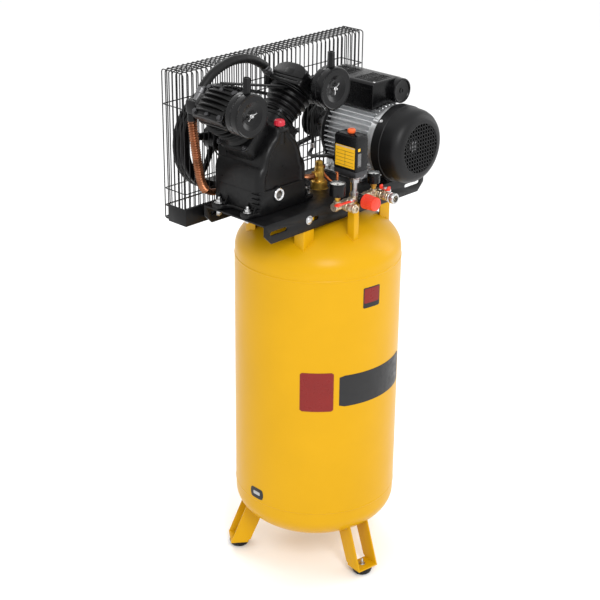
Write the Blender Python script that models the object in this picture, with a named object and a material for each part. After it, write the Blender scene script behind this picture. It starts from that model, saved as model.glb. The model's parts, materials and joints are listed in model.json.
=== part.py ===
"""Vertical tank compressor: a belt-driven V-twin pump and its motor on a standing air tank.

Metres, +Z up. The origin is on the tank's axis at floor level. +X runs from the pump to the
motor, -Y is the control side, and the belt drive is on the +Y side.
"""

import math

import bmesh
import bpy
from mathutils import Matrix, Vector

GAP = 0.0003  # room left between pieces that touch
RUNNING_GAP = 0.0006  # room left round a turning piece

# Tank
TANK_RADIUS = 0.200
TANK_WALL = 0.003
BARREL_BOTTOM, BARREL_TOP = 0.1945, 0.804
TOP_HEAD_Z, TOP_HEAD_DEPTH = 0.822, 0.100
BOTTOM_HEAD_Z, BOTTOM_HEAD_DEPTH = 0.170, 0.095
BUNG_RADIUS, BUNG_BORE, BUNG_TOP = 0.021, 0.0125, 0.934
DRAIN_BUNG_RADIUS, DRAIN_BORE, DRAIN_BUNG_BOTTOM = 0.015, 0.0085, 0.066
TANK_SIDES = 32
HEAD_STEPS = 5

# Feet
LEG_AZIMUTHS = {"front": -97.9, "left": 142.1, "right": 22.1}
LEG_LEAN = 0.377  # how far the leg leans outwards for each metre down
LEG_OUTER, LEG_INNER = 0.2190, 0.1680
LEG_HALF_WIDTH, LEG_SHEET = 0.0297, 0.0035
PAD_CENTRE, PAD_RADIUS, PAD_HEIGHT = 0.1945, 0.0245, 0.0175
STUD_RADIUS = 0.004

# Deck
DECK_LEFT, DECK_RIGHT, DECK_HALF_WIDTH = -0.2775, 0.2677, 0.098
DECK_TOP, DECK_SHEET, FLANGE_HEIGHT, FLANGE_CHAMFER = 0.966, 0.004, 0.047, 0.021
BRACKET_INNER, BRACKET_OUTER, BRACKET_DEPTH = 0.115, 0.149, 0.030
DECK_BOLT_Z = 0.944
POST_CENTRE = (-0.036, -0.142)
POST_TOP = 0.955

# Pump
CRANK_X, CRANK_Z = -0.170, 1.088
THROW, ROD_LENGTH = 0.019, 0.111
CYLINDER_Y = {"left": 0.0235, "right": 0.0355}
ROD_HALF_THICKNESS = 0.0055
BORE_RADIUS, PISTON_RADIUS, PISTON_WALL = 0.0335, 0.0330, 0.0035
SPIGOT_START, CYLINDER_START, CYLINDER_END, FIN_RADIUS = 0.062, 0.078, 0.160, 0.051
HEAD_END, HEAD_HALF_WIDTH, HEAD_HALF_LENGTH, HEAD_FIN_HEIGHT = 0.212, 0.041, 0.0485, 0.014
CROWN_ABOVE_PIN = 0.028
CASE_FRONT, CASE_BACK, CASE_HALF_WIDTH = -0.050, 0.093, 0.0775
FILTER_RADIUS, FILTER_FRONT = 0.0485, -0.080
FILTER_DISTANCE = {"left": 0.179, "right": 0.193}
ELBOW_BLOCK = {
    "left": ((-0.322, 0.0765, 1.184), (-0.284, 0.1205, 1.228)),
    "right": ((-0.080, 0.0885, 1.200), (-0.044, 0.1080, 1.238)),
}
HOSE_NUT = {  # from inside the block to the nut's end
    "left": ((-0.303, 0.092, 1.215), (-0.2885, 0.092, 1.2395)),
    "right": ((-0.062, 0.098, 1.226), (-0.0790, 0.098, 1.2465)),
}

# Belt drive
BELT_Y, BELT_HALF_WIDTH, BELT_DEPTH = 0.168, 0.0062, 0.008
FLYWHEEL_RADIUS, PULLEY_RADIUS = 0.1225, 0.0425
GUARD = ((-0.299, 0.136, 0.912), (0.300, 0.210, 1.267))
GUARD_SHEET, GUARD_ROUND = 0.003, 0.010

# Motor
MOTOR_X, MOTOR_Z = 0.1675, 1.0605
BODY_RADIUS, BODY_FRONT, BODY_BACK = 0.086, -0.0895, 0.082
FAN_COVER_RADIUS, FAN_COVER_FACE_RADIUS, FAN_COVER_FRONT = 0.0912, 0.0725, -0.166

# Controls
PIPE_Y, PIPE_Z = -0.138, 0.975
SWITCH = ((-0.050, -0.160, 1.0503), (-0.010, -0.090, 1.132))

X, Y, Z = Vector((1, 0, 0)), Vector((0, 1, 0)), Vector((0, 0, 1))
CYLINDER_AXIS = {"left": Vector((-1, 0, 1)).normalized(), "right": Vector((1, 0, 1)).normalized()}

COLOURS = {  # base colour, roughness, metallic
    "yellow_paint": ((0.85, 0.45, 0.01), 0.35, 0.0),
    "black_paint": ((0.012, 0.012, 0.013), 0.45, 0.0),
    "black_casting": ((0.020, 0.020, 0.022), 0.55, 0.0),
    "black_plastic": ((0.015, 0.015, 0.016), 0.40, 0.0),
    "aluminium": ((0.62, 0.63, 0.65), 0.38, 1.0),
    "steel": ((0.55, 0.55, 0.57), 0.30, 1.0),
    "chrome": ((0.80, 0.80, 0.82), 0.12, 1.0),
    "brass": ((0.62, 0.45, 0.18), 0.30, 1.0),
    "copper": ((0.60, 0.24, 0.11), 0.35, 1.0),
    "rubber": ((0.010, 0.010, 0.011), 0.70, 0.0),
    "red_plastic": ((0.75, 0.04, 0.02), 0.35, 0.0),
    "dark_mesh": ((0.03, 0.03, 0.032), 0.45, 0.6),
}


# ---------------------------------------------------------------- shapes


def material(name):
    colour, roughness, metallic = COLOURS[name]
    made = bpy.data.materials.new(name)
    made.use_nodes = True
    shader = made.node_tree.nodes["Principled BSDF"]
    shader.inputs["Base Color"].default_value = (*colour, 1)
    shader.inputs["Roughness"].default_value = roughness
    shader.inputs["Metallic"].default_value = metallic
    return made


def solid(points, faces):
    """A helper object from points and faces, its faces turned outwards."""
    mesh = bpy.data.meshes.new("solid")
    mesh.from_pydata([tuple(p) for p in points], [], faces)
    shape = bmesh.new()
    shape.from_mesh(mesh)
    bmesh.ops.recalc_face_normals(shape, faces=shape.faces)
    bmesh.ops.triangulate(shape, faces=shape.faces)
    shape.to_mesh(mesh)
    shape.free()
    made = bpy.data.objects.new("solid", mesh)
    bpy.context.scene.collection.objects.link(made)
    return made


def box(low, high):
    points = [(x, y, z) for x in (low[0], high[0]) for y in (low[1], high[1]) for z in (low[2], high[2])]
    faces = [(0, 1, 3, 2), (4, 6, 7, 5), (0, 4, 5, 1), (2, 3, 7, 6), (0, 2, 6, 4), (1, 5, 7, 3)]
    return solid(points, faces)


def prism(outline, origin, along_u, along_v, depth):
    """The outline's (u, v) points in the plane of the two directions, extruded along their normal."""
    origin, along_u, along_v = Vector(origin), Vector(along_u), Vector(along_v)
    normal = along_u.cross(along_v)
    count = len(outline)
    near = [origin + along_u * u + along_v * v for u, v in outline]
    points = near + [p + normal * depth for p in near]
    sides = [(i, (i + 1) % count, (i + 1) % count + count, i + count) for i in range(count)]
    caps = [tuple(range(count)), tuple(range(count, 2 * count))]
    return solid(points, sides + caps)


def slab(outline, low, high):
    """An outline of (x, z) points that fills y from low to high."""
    return prism(outline, (0, high, 0), X, Z, high - low)


def turned(profile, origin=(0, 0, 0), axis=Z, sides=20, start=0.5):
    """A closed profile of (radius, height) points turned about an axis through origin."""
    basis = Vector(axis).to_track_quat("Z", "Y").to_matrix()
    origin = Vector(origin)
    points, rings = [], []
    for radius, height in profile:
        count = sides if radius > 0 else 1
        rings.append([len(points) + i for i in range(count)])
        for i in range(count):
            angle = math.tau * (i + start) / sides
            local = Vector((radius * math.cos(angle), radius * math.sin(angle), height))
            points.append(origin + basis @ local)
    faces = []
    for low, high in zip(rings, rings[1:] + rings[:1]):
        for i in range(sides):
            j = (i + 1) % sides
            corners = (low[i % len(low)], low[j % len(low)], high[j % len(high)], high[i % len(high)])
            face = tuple(dict.fromkeys(corners))
            if len(face) > 2:
                faces.append(face)
    return solid(points, faces)


def rod(start, end, radius, sides=16):
    start, end = Vector(start), Vector(end)
    length = (end - start).length
    return turned([(0, 0), (radius, 0), (radius, length), (0, length)], start, end - start, sides)


def ring(start, end, outer, inner, sides=20):
    start, end = Vector(start), Vector(end)
    length = (end - start).length
    profile = [(outer, 0), (outer, length), (inner, length), (inner, 0)]
    return turned(profile, start, end - start, sides)


def arc(centre, radius, start, end, steps):
    """Points of a circle's arc, angles in degrees, both ends included."""
    angles = [math.radians(start + (end - start) * i / steps) for i in range(steps + 1)]
    return [(centre[0] + radius * math.cos(a), centre[1] + radius * math.sin(a)) for a in angles]


def stadium(centre, length, width, steps=4):
    """A slot's outline along u, with round ends."""
    half = (length - width) / 2
    right = arc((centre[0] + half, centre[1]), width / 2, -90, 90, steps)
    left = arc((centre[0] - half, centre[1]), width / 2, 90, 270, steps)
    return right + left


def boolean(operation, body, tools):
    """Applies one tool at a time, on triangles only, which keeps each result closed."""
    for tool in tools:
        modifier = body.modifiers.new(operation, "BOOLEAN")
        modifier.operation = operation
        modifier.solver = "EXACT"
        modifier.object = tool
        graph = bpy.context.evaluated_depsgraph_get()
        mesh = bpy.data.meshes.new_from_object(body.evaluated_get(graph))
        body.modifiers.clear()
        shape = bmesh.new()
        shape.from_mesh(mesh)
        bmesh.ops.triangulate(shape, faces=shape.faces)
        shape.to_mesh(mesh)
        shape.free()
        body.data = mesh
        bpy.data.objects.remove(tool)
    return body


def joined(body, *others):
    return boolean("UNION", body, others)


def cut(body, *cutters):
    return boolean("DIFFERENCE", body, cutters)


def node(body, name, surface, pivot=(0, 0, 0)):
    """Names a finished piece, gives it its own material, and puts its origin at its pivot."""
    pivot = Vector(pivot)
    body.name = name
    body.data.name = name
    body.data.transform(Matrix.Translation(-pivot))
    body.location = pivot
    body.data.materials.clear()
    body.data.materials.append(material(surface))
    body.data.shade_smooth()
    body.data.set_sharp_from_angle(angle=math.radians(35))
    return body


def smooth_route(corners, spacing):
    """Points about `spacing` apart on a Catmull-Rom curve through the corners."""
    corners = [Vector(c) for c in corners]
    padded = [2 * corners[0] - corners[1]] + corners + [2 * corners[-1] - corners[-2]]
    route = []
    for a, b, c, d in zip(padded, padded[1:], padded[2:], padded[3:]):
        steps = max(1, round((c - b).length / spacing))
        for i in range(steps):
            t = i / steps
            point = 2 * b + (c - a) * t
            point += (2 * a - 5 * b + 4 * c - d) * t**2
            point += (3 * b - a - 3 * c + d) * t**3
            route.append(point / 2)
    return route + [corners[-1]]


def hose(name, surface, corners, radius, spacing, resolution=2):
    """A round tube along a smooth route, as a curve with filled caps."""
    route = smooth_route(corners, spacing)
    curve = bpy.data.curves.new(name, "CURVE")
    curve.dimensions = "3D"
    curve.bevel_depth = radius
    curve.bevel_resolution = resolution
    curve.use_fill_caps = True
    spline = curve.splines.new("POLY")
    spline.points.add(len(route) - 1)
    for point, place in zip(spline.points, route):
        point.co = (*place, 1)
    curve.materials.append(material(surface))
    made = bpy.data.objects.new(name, curve)
    bpy.context.scene.collection.objects.link(made)
    return made


# ---------------------------------------------------------------- tank


def head_arc(radius, depth, last_radius, steps):
    """Points of an ellipsoidal head, (radius, height above its rim), from the rim inwards."""
    last = math.acos(last_radius / radius)
    angles = [last * i / steps for i in range(steps + 1)]
    return [(radius * math.cos(a), depth * math.sin(a)) for a in angles]


def dome_solid(grown):
    """The tank's whole outside, a little larger, for trimming what stands on it."""
    radius = TANK_RADIUS + grown
    top = head_arc(radius, TOP_HEAD_DEPTH + grown, BUNG_RADIUS, HEAD_STEPS)
    bottom = head_arc(radius, BOTTOM_HEAD_DEPTH + grown, DRAIN_BUNG_RADIUS, HEAD_STEPS)
    profile = [(r, TOP_HEAD_Z + h) for r, h in top] + [(0, TOP_HEAD_Z + TOP_HEAD_DEPTH)]
    profile += [(0, BOTTOM_HEAD_Z - BOTTOM_HEAD_DEPTH)]
    profile += [(r, BOTTOM_HEAD_Z - h) for r, h in reversed(bottom)]
    return turned(profile, sides=TANK_SIDES)


def tank_barrel():
    body = ring((0, 0, BARREL_BOTTOM), (0, 0, BARREL_TOP), TANK_RADIUS, TANK_RADIUS - TANK_WALL, TANK_SIDES)
    node(body, "tank_barrel", "yellow_paint")


def tank_top_head():
    outer = head_arc(TANK_RADIUS, TOP_HEAD_DEPTH, BUNG_RADIUS, HEAD_STEPS)
    inner = head_arc(TANK_RADIUS - TANK_WALL, TOP_HEAD_DEPTH - TANK_WALL, BUNG_BORE, HEAD_STEPS)
    rim = BARREL_TOP + GAP
    profile = [(TANK_RADIUS, rim)] + [(r, TOP_HEAD_Z + h) for r, h in outer]
    profile += [(BUNG_RADIUS, BUNG_TOP), (BUNG_BORE, BUNG_TOP)]
    profile += [(r, TOP_HEAD_Z + h) for r, h in reversed(inner)] + [(TANK_RADIUS - TANK_WALL, rim)]
    body = turned(profile, sides=TANK_SIDES)
    x, y = POST_CENTRE
    post = box((x - 0.008, y - 0.0105, 0.880), (x + 0.008, y + 0.0105, POST_TOP))
    outlet = rod((x, y, 0.860), (x, y, POST_TOP + 0.010), 0.005, 12)
    node(cut(joined(body, post), outlet), "tank_top_head", "yellow_paint")


def tank_bottom_head():
    outer = head_arc(TANK_RADIUS, BOTTOM_HEAD_DEPTH, DRAIN_BUNG_RADIUS, HEAD_STEPS)
    inner = head_arc(TANK_RADIUS - TANK_WALL, BOTTOM_HEAD_DEPTH - TANK_WALL, DRAIN_BORE, HEAD_STEPS)
    rim = BARREL_BOTTOM - GAP
    profile = [(TANK_RADIUS, rim)] + [(r, BOTTOM_HEAD_Z - h) for r, h in outer]
    profile += [(DRAIN_BUNG_RADIUS, DRAIN_BUNG_BOTTOM), (DRAIN_BORE, DRAIN_BUNG_BOTTOM)]
    profile += [(r, BOTTOM_HEAD_Z - h) for r, h in reversed(inner)] + [(TANK_RADIUS - TANK_WALL, rim)]
    node(turned(profile, sides=TANK_SIDES), "tank_bottom_head", "yellow_paint")


def leg(side, azimuth):
    """Two leaning side strips joined by a foot plate, trimmed to the tank's bottom head."""
    angle = math.radians(azimuth)
    outward = Vector((math.cos(angle), math.sin(angle), 0))
    across = Z.cross(outward)
    base, top = PAD_HEIGHT + GAP, 0.150
    rise = top - base
    outline = [
        (LEG_INNER + 0.014, base),
        (LEG_OUTER, base),
        (LEG_OUTER - LEG_LEAN * rise, top),
        (LEG_INNER - LEG_LEAN * rise, top),
        (LEG_INNER, base + 0.009),
    ]
    # The extrusion runs against `across`, from each strip's far side.
    strips = [
        cut(prism(outline, across * (offset + LEG_SHEET), outward, Z, LEG_SHEET), dome_solid(2 * GAP))
        for offset in (LEG_HALF_WIDTH - LEG_SHEET, -LEG_HALF_WIDTH)
    ]
    plate_outline = [(LEG_INNER + 0.006, base), (LEG_OUTER, base), (LEG_OUTER, base + 0.004),
                     (LEG_INNER + 0.006, base + 0.004)]
    plate = prism(plate_outline, across * LEG_HALF_WIDTH, outward, Z, 2 * LEG_HALF_WIDTH)
    centre = outward * PAD_CENTRE
    hole = rod(centre, centre + Z * 0.05, STUD_RADIUS + 0.0005, 16)
    body = cut(joined(plate, *strips), hole)
    node(body, "leg_" + side, "yellow_paint")
    pad = [(0, 0), (PAD_RADIUS - 0.006, 0), (PAD_RADIUS - 0.0015, 0.004), (PAD_RADIUS, 0.009),
           (PAD_RADIUS, PAD_HEIGHT), (STUD_RADIUS, PAD_HEIGHT), (STUD_RADIUS, 0.034), (0, 0.034)]
    node(turned(pad, centre), "foot_pad_" + side, "rubber")


def drain_valve():
    body = turned([(0, 0.036), (0.011, 0.036), (0.011, 0.0655), (0.008, 0.0655), (0.008, 0.080), (0, 0.080)], sides=6)
    spout = rod((0, 0, 0.050), (0, -0.026, 0.050), 0.006, 12)
    node(joined(body, spout), "drain_valve", "brass")
    knob = turned([(0, 0.020), (0.010, 0.020), (0.010, 0.028), (0.004, 0.030), (0.004, 0.0355), (0, 0.0355)], sides=16)
    wings = box((-0.018, -0.002, 0.021), (0.018, 0.002, 0.028))
    node(joined(knob, wings), "drain_handle", "brass", (0, 0, 0.028))


# ---------------------------------------------------------------- deck


def deck_brackets():
    """Four angle pieces that stand on the top head and carry the deck's flanges."""
    for side_x, name_x in ((-1, "left"), (1, "right")):
        for side_y, name_y in ((-1, "front"), (1, "back")):
            face = side_y * (DECK_HALF_WIDTH - DECK_SHEET - GAP)
            inward = face - side_y * BRACKET_DEPTH
            low_x, high_x = sorted((side_x * BRACKET_INNER, side_x * BRACKET_OUTER))
            low_y, high_y = sorted((face, face - side_y * 0.004))
            top = DECK_TOP - DECK_SHEET - GAP
            plate = box((low_x, low_y, 0.840), (high_x, high_y, top))
            side_low, side_high = sorted((side_x * BRACKET_OUTER, side_x * (BRACKET_OUTER - 0.004)))
            wall_low, wall_high = sorted((face, inward))
            wall = box((side_low, wall_low, 0.830), (side_high, wall_high, top))
            middle = side_x * (BRACKET_INNER + BRACKET_OUTER) / 2
            hole = rod((middle, face - side_y * 0.02, DECK_BOLT_Z), (middle, face + side_y * 0.02, DECK_BOLT_Z), 0.005, 12)
            body = cut(joined(plate, wall), dome_solid(2 * GAP), hole)
            node(body, f"deck_bracket_{name_y}_{name_x}", "yellow_paint")


def deck_plate():
    """A channel whose two flanges hang down, with slots for the pump, the motor and the brackets."""
    bottom = DECK_TOP - FLANGE_HEIGHT
    chamfer = FLANGE_CHAMFER
    outline = [
        (DECK_LEFT, DECK_TOP), (DECK_LEFT, bottom + chamfer), (DECK_LEFT + chamfer, bottom),
        (DECK_RIGHT - chamfer, bottom), (DECK_RIGHT, bottom + chamfer), (DECK_RIGHT, DECK_TOP),
    ]
    blank = slab(outline, -DECK_HALF_WIDTH, DECK_HALF_WIDTH)
    inside = DECK_HALF_WIDTH - DECK_SHEET
    hollow = box((DECK_LEFT - 0.01, -inside, bottom - 0.01), (DECK_RIGHT + 0.01, inside, DECK_TOP - DECK_SHEET))
    slots = []
    bolt_x = (BRACKET_INNER + BRACKET_OUTER) / 2
    for centre_x, length in ((-0.2335, 0.055), (0.225, 0.056), (-bolt_x + 0.008, 0.040), (bolt_x, 0.040)):
        centre = (centre_x, DECK_BOLT_Z - 0.001)
        slots.append(slab(stadium(centre, length, 0.0095), -DECK_HALF_WIDTH - 0.01, DECK_HALF_WIDTH + 0.01))
    for centre_x, centre_y in ((-0.262, -0.070), (-0.262, 0.070), (-0.078, -0.062), (-0.078, 0.062)):
        outline = stadium((centre_y, -centre_x), 0.034, 0.009)
        slots.append(prism(outline, (0, 0, DECK_TOP + 0.01), Y, -X, -0.03 * -1))
    slots.append(rod((0, 0, DECK_TOP - 0.02), (0, 0, DECK_TOP + 0.02), 0.024, 24))
    node(cut(blank, hollow, *slots), "deck_plate", "black_paint")


# ---------------------------------------------------------------- pump


def crank_point(distance, sideways, y, side):
    """A point beside a cylinder's axis, measured from the crankshaft's axis."""
    along = CYLINDER_AXIS[side]
    across = Vector((along.z, 0, -along.x))
    return Vector((CRANK_X, y, CRANK_Z)) + along * distance + across * sideways


def along_cylinder(outline, side, low_y, high_y):
    """An outline of (sideways, distance) points beside a cylinder's axis, extruded along Y."""
    along = CYLINDER_AXIS[side]
    across = Vector((along.z, 0, -along.x))
    return prism(outline, (CRANK_X, high_y, CRANK_Z), across, along, high_y - low_y)


def rectangle(low_u, high_u, low_v, high_v):
    return [(low_u, low_v), (high_u, low_v), (high_u, high_v), (low_u, high_v)]


def crankcase():
    floor = DECK_TOP + GAP
    half = CASE_HALF_WIDTH
    shoulder = arc((CRANK_X + half - 0.105, 1.050), 0.105, 0, 62, 6)
    right = [(CRANK_X + half, floor)] + shoulder + [(CRANK_X + 0.014, 1.160)]
    left = [(2 * CRANK_X - x, z) for x, z in reversed(right)]
    body = slab(right + left, CASE_FRONT, CASE_BACK)
    flange = box((CRANK_X - 0.107, -0.045, floor), (CRANK_X + 0.107, 0.078, floor + 0.012))
    pads = [along_cylinder(rectangle(-0.046, 0.046, 0.040, CYLINDER_START - GAP), side,
                           y - 0.046, y + 0.046) for side, y in CYLINDER_Y.items()]
    bearing = rod((CRANK_X, 0.080, CRANK_Z), (CRANK_X, 0.104, CRANK_Z), 0.032)
    body = joined(body, flange, bearing, *pads)
    chamber = rod((CRANK_X, CASE_FRONT + 0.009, CRANK_Z), (CRANK_X, CASE_BACK - 0.008, CRANK_Z), 0.060, 24)
    sump = box((CRANK_X - 0.058, CASE_FRONT + 0.0095, floor + 0.014), (CRANK_X + 0.058, CASE_BACK - 0.0085, CRANK_Z - 0.004))
    mouths = [rod(crank_point(0.034 if side == "left" else 0.031, 0, y, side), crank_point(0.095, 0, y, side), 0.0369, 20)
              for side, y in CYLINDER_Y.items()]
    shaft_bore = rod((CRANK_X, 0.050, CRANK_Z), (CRANK_X, 0.120, CRANK_Z), 0.0175 + RUNNING_GAP)
    glass_seat = rod((-0.188, CASE_FRONT - 0.01, 1.007), (-0.188, CASE_FRONT + 0.03, 1.007), 0.0095, 14)
    filler = rod((CRANK_X, -0.036, 1.120), (CRANK_X, -0.036, 1.200), 0.0075, 16)
    bolt_holes = [rod((CRANK_X + x, y, 0.95), (CRANK_X + x, y, 1.0), 0.0045, 12)
                  for x in (-0.094, 0.094) for y in (-0.030, 0.062)]
    cutters = [glass_seat, filler, chamber, sump, shaft_bore, *mouths, *bolt_holes]
    node(cut(body, *cutters), "crankcase", "black_casting")
    glass = turned([(0, -0.012), (0.009, -0.012), (0.009, GAP), (0.0125, GAP), (0.0125, 0.006), (0, 0.006)],
                   (-0.188, CASE_FRONT, 1.007), -Y, 20)
    node(glass, "sight_glass", "chrome")
    cap = turned([(0, -0.012), (0.007, -0.012), (0.007, GAP), (0.013, GAP), (0.013, 0.012), (0.009, 0.017),
                  (0, 0.017)], (CRANK_X, -0.036, 1.160), Z, 16)
    node(cap, "oil_filler_cap", "red_plastic")


def crankshaft():
    """An overhung crank: its disc carries the counterweight, and the pin halves ride in the rods."""
    def journal(low, high, radius, sides=16):
        return rod((CRANK_X, low, CRANK_Z), (CRANK_X, high, CRANK_Z), radius, sides)
    disc = journal(0.0445, 0.0580, 0.040, 24)
    shaft = journal(0.0500, 0.1400, 0.0175)
    nose = journal(0.1350, 0.1960, 0.0140)
    body = joined(shaft, disc, nose)
    pin_hole_centre = crank_point(THROW, 0, 0.03, "left")
    pin_hole = rod(pin_hole_centre, pin_hole_centre + Y * 0.022, 0.0075, 16)
    node(cut(body, pin_hole), "crankshaft", "steel", (CRANK_X, 0.12, CRANK_Z))


def wrist_pin(side):
    """Where a wrist pin's axis is when the crankpin lies on the left cylinder's axis."""
    distance = THROW + ROD_LENGTH if side == "left" else math.sqrt(ROD_LENGTH**2 - THROW**2)
    return distance


def piston_and_rod(side):
    y = CYLINDER_Y[side]
    pin = wrist_pin(side)
    crown = pin + CROWN_ABOVE_PIN
    skirt = crown - 0.046
    inner = PISTON_RADIUS - PISTON_WALL
    profile = [(PISTON_RADIUS, skirt), (PISTON_RADIUS, crown), (0, crown), (0, crown - 0.006),
               (inner, crown - 0.006), (inner, skirt)]
    body = turned(profile, (CRANK_X, y, CRANK_Z), CYLINDER_AXIS[side], 24)
    centre = crank_point(pin, 0, y, side)
    reach = PISTON_RADIUS - 0.002
    boss = rod(centre - Y * reach, centre + Y * reach, 0.0065, 16)
    node(joined(body, boss), "piston_" + side, "aluminium", centre)
    crankpin = crank_point(THROW, 0, y, "left")
    half = ROD_HALF_THICKNESS
    small_end = ring(centre - Y * half, centre + Y * half, 0.0115, 0.0065 + RUNNING_GAP, 20)
    big_end = rod(crankpin - Y * half, crankpin + Y * half, 0.0185)
    direction = (centre - crankpin).normalized()
    across = Y.cross(direction)
    outline = [(0.013, -0.008), (0.103, -0.005), (0.103, 0.005), (0.013, 0.008)]
    shank = prism(outline, crankpin - Y * 0.0035, direction, across, 0.007)
    body = cut(joined(big_end, shank, small_end), rod(centre - Y * 0.02, centre + Y * 0.02, 0.0065 + RUNNING_GAP))
    node(body, "connecting_rod_" + side, "aluminium", centre)


def cylinder(side):
    y = CYLINDER_Y[side]
    start, end = CYLINDER_START, CYLINDER_END
    fins, pitch, thick = 5, 0.0150, 0.0050
    outline = [(BORE_RADIUS, SPIGOT_START), (0.0362, SPIGOT_START), (0.0362, start), (0.048, start)]
    for i in range(fins):
        low = start + 0.006 + i * pitch
        outline += [(0.0395, low), (0.0395, low + pitch - thick), (FIN_RADIUS, low + pitch - thick),
                    (FIN_RADIUS, low + pitch)]
    outline = outline[:4] + [(0.048, start + 0.006)] + outline[4:]
    outline += [(0.0460, end - 0.0005), (BORE_RADIUS, end - 0.0005)]
    body = turned(outline, (CRANK_X, y, CRANK_Z), CYLINDER_AXIS[side], 20)
    node(body, "cylinder_" + side, "black_casting")


def cylinder_head(side):
    """A finned block with a chamber under it, an inlet for the filter and an outlet at the back."""
    y = CYLINDER_Y[side]
    half, base, top = HEAD_HALF_WIDTH, CYLINDER_END + GAP, HEAD_END
    fins, thick = 7, 0.0040
    pitch = (2 * half - thick) / (fins - 1)
    outline = [(-half, base), (half, base), (half, top)]
    for i in range(fins - 1):
        edge = half - i * pitch
        outline += [(edge - thick, top), (edge - thick, top - HEAD_FIN_HEIGHT),
                    (edge - pitch, top - HEAD_FIN_HEIGHT), (edge - pitch, top)]
    outline += [(-half, top)]
    body = along_cylinder(outline, side, y - HEAD_HALF_LENGTH, y + HEAD_HALF_LENGTH)
    back = y + HEAD_HALF_LENGTH
    neck = along_cylinder(rectangle(-0.020, 0.020, 0.165, 0.200), side, back - 0.010, back + 0.008)
    block = box(*ELBOW_BLOCK[side])
    tail, tip = HOSE_NUT[side]
    body = joined(body, neck, block, rod(tail, tip, 0.0095, 12))
    outlet = rod(crank_point(0.172, 0, y, side), crank_point(0.172, 0, back - 0.004, side), 0.006, 12)
    chamber = along_cylinder(rectangle(-0.027, 0.027, base - 0.01, base + 0.018), side, y - 0.030, y + 0.030)
    inlet = rod(crank_point(0.179, 0, y - 0.028, side), crank_point(0.179, 0, y - 0.060, side), 0.0075, 12)
    node(cut(body, chamber, inlet, outlet), "cylinder_head_" + side, "black_casting")


def air_filter(side):
    y = CYLINDER_Y[side] - HEAD_HALF_LENGTH - GAP
    centre = crank_point(FILTER_DISTANCE[side], 0, 0, side)
    depth = y - FILTER_FRONT
    radius = FILTER_RADIUS
    profile = [(0, 0), (0.020, 0), (0.020, 0.006), (radius - 0.010, 0.010), (radius - 0.002, 0.022),
               (radius, 0.030), (radius, depth - 0.004), (radius - 0.004, depth), (0, depth)]
    body = turned(profile, (centre.x, y, centre.z), -Y, 24)
    top = centre.z + radius + 0.034
    snorkel = rod((centre.x, -0.060, centre.z + 0.035), (centre.x, -0.060, top), 0.008, 16)
    mouth = rod((centre.x, -0.060, centre.z + 0.052), (centre.x, -0.060, top + 0.01), 0.006, 16)
    node(cut(joined(body, snorkel), mouth), "air_filter_" + side, "black_plastic")


def pump_pipes():
    ends = {}
    for side, (tail, tip) in HOSE_NUT.items():
        direction = (Vector(tip) - Vector(tail)).normalized()
        ends[side] = [Vector(tip) + direction * GAP * 2, Vector(tip) + direction * 0.012]
    arch = [(-0.245, 0.091, 1.271), (-0.193, 0.091, 1.286), (-0.137, 0.092, 1.281)]
    hose("intercooler_hose", "rubber", ends["left"] + arch + ends["right"][::-1], 0.0105, 0.016, 3)
    hose("discharge_tube", "copper",
         [(-0.303, 0.108, 1.1835), (-0.301, 0.108, 1.140), (-0.296, 0.109, 1.080), (-0.289, 0.110, 1.025),
          (-0.280, 0.110, 0.998), (-0.260, 0.111, 0.984), (-0.230, 0.111, 0.982), (-0.130, 0.111, 0.984),
          (-0.085, 0.108, 0.990), (-0.062, 0.080, 0.996), (-0.056, 0.040, 0.998), (-0.048, 0.012, 0.998),
          (-0.034, 0.0, 0.998), (-0.0215, 0.0, 0.998)], 0.0100, 0.017, 2)


# ---------------------------------------------------------------- belt drive


def groove_profile(rim, hub, half_width, bore):
    """A wheel's (radius, height) outline with one V-groove, heights from the belt's middle plane."""
    deep = rim - BELT_DEPTH - 0.0015
    wide, narrow = BELT_HALF_WIDTH + 0.0008, BELT_HALF_WIDTH - 0.0012
    return [(bore, -half_width), (hub, -half_width), (rim, -half_width), (rim, -wide), (deep, -narrow),
            (deep, narrow), (rim, wide), (rim, half_width), (hub, half_width), (bore, half_width)]


def flywheel():
    centre = (CRANK_X, BELT_Y, CRANK_Z)
    rim_inner = FLYWHEEL_RADIUS - 0.022
    body = turned(groove_profile(FLYWHEEL_RADIUS, rim_inner, 0.018, rim_inner)[1:-1], centre, Y, 32)
    hub = ring((CRANK_X, BELT_Y - 0.022, CRANK_Z), (CRANK_X, BELT_Y + 0.020, CRANK_Z), 0.030, 0.0140 + GAP)
    spokes = []
    for i in range(5):
        turn = Matrix.Rotation(math.tau * (i + 0.25) / 5, 4, "Y")
        spoke = box((0.026, -0.004, -0.011), (rim_inner + 0.006, 0.004, 0.011))
        spoke.data.transform(Matrix.Translation(centre) @ turn @ Matrix.Rotation(math.radians(24), 4, "X"))
        spokes.append(spoke)
    node(joined(body, hub, *spokes), "flywheel", "black_casting", centre)


def motor_pulley():
    centre = (MOTOR_X, BELT_Y, MOTOR_Z)
    profile = groove_profile(PULLEY_RADIUS, 0.020, 0.012, 0.0095 + GAP)
    node(turned(profile, centre, Y, 24), "motor_pulley", "black_casting", centre)


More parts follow.
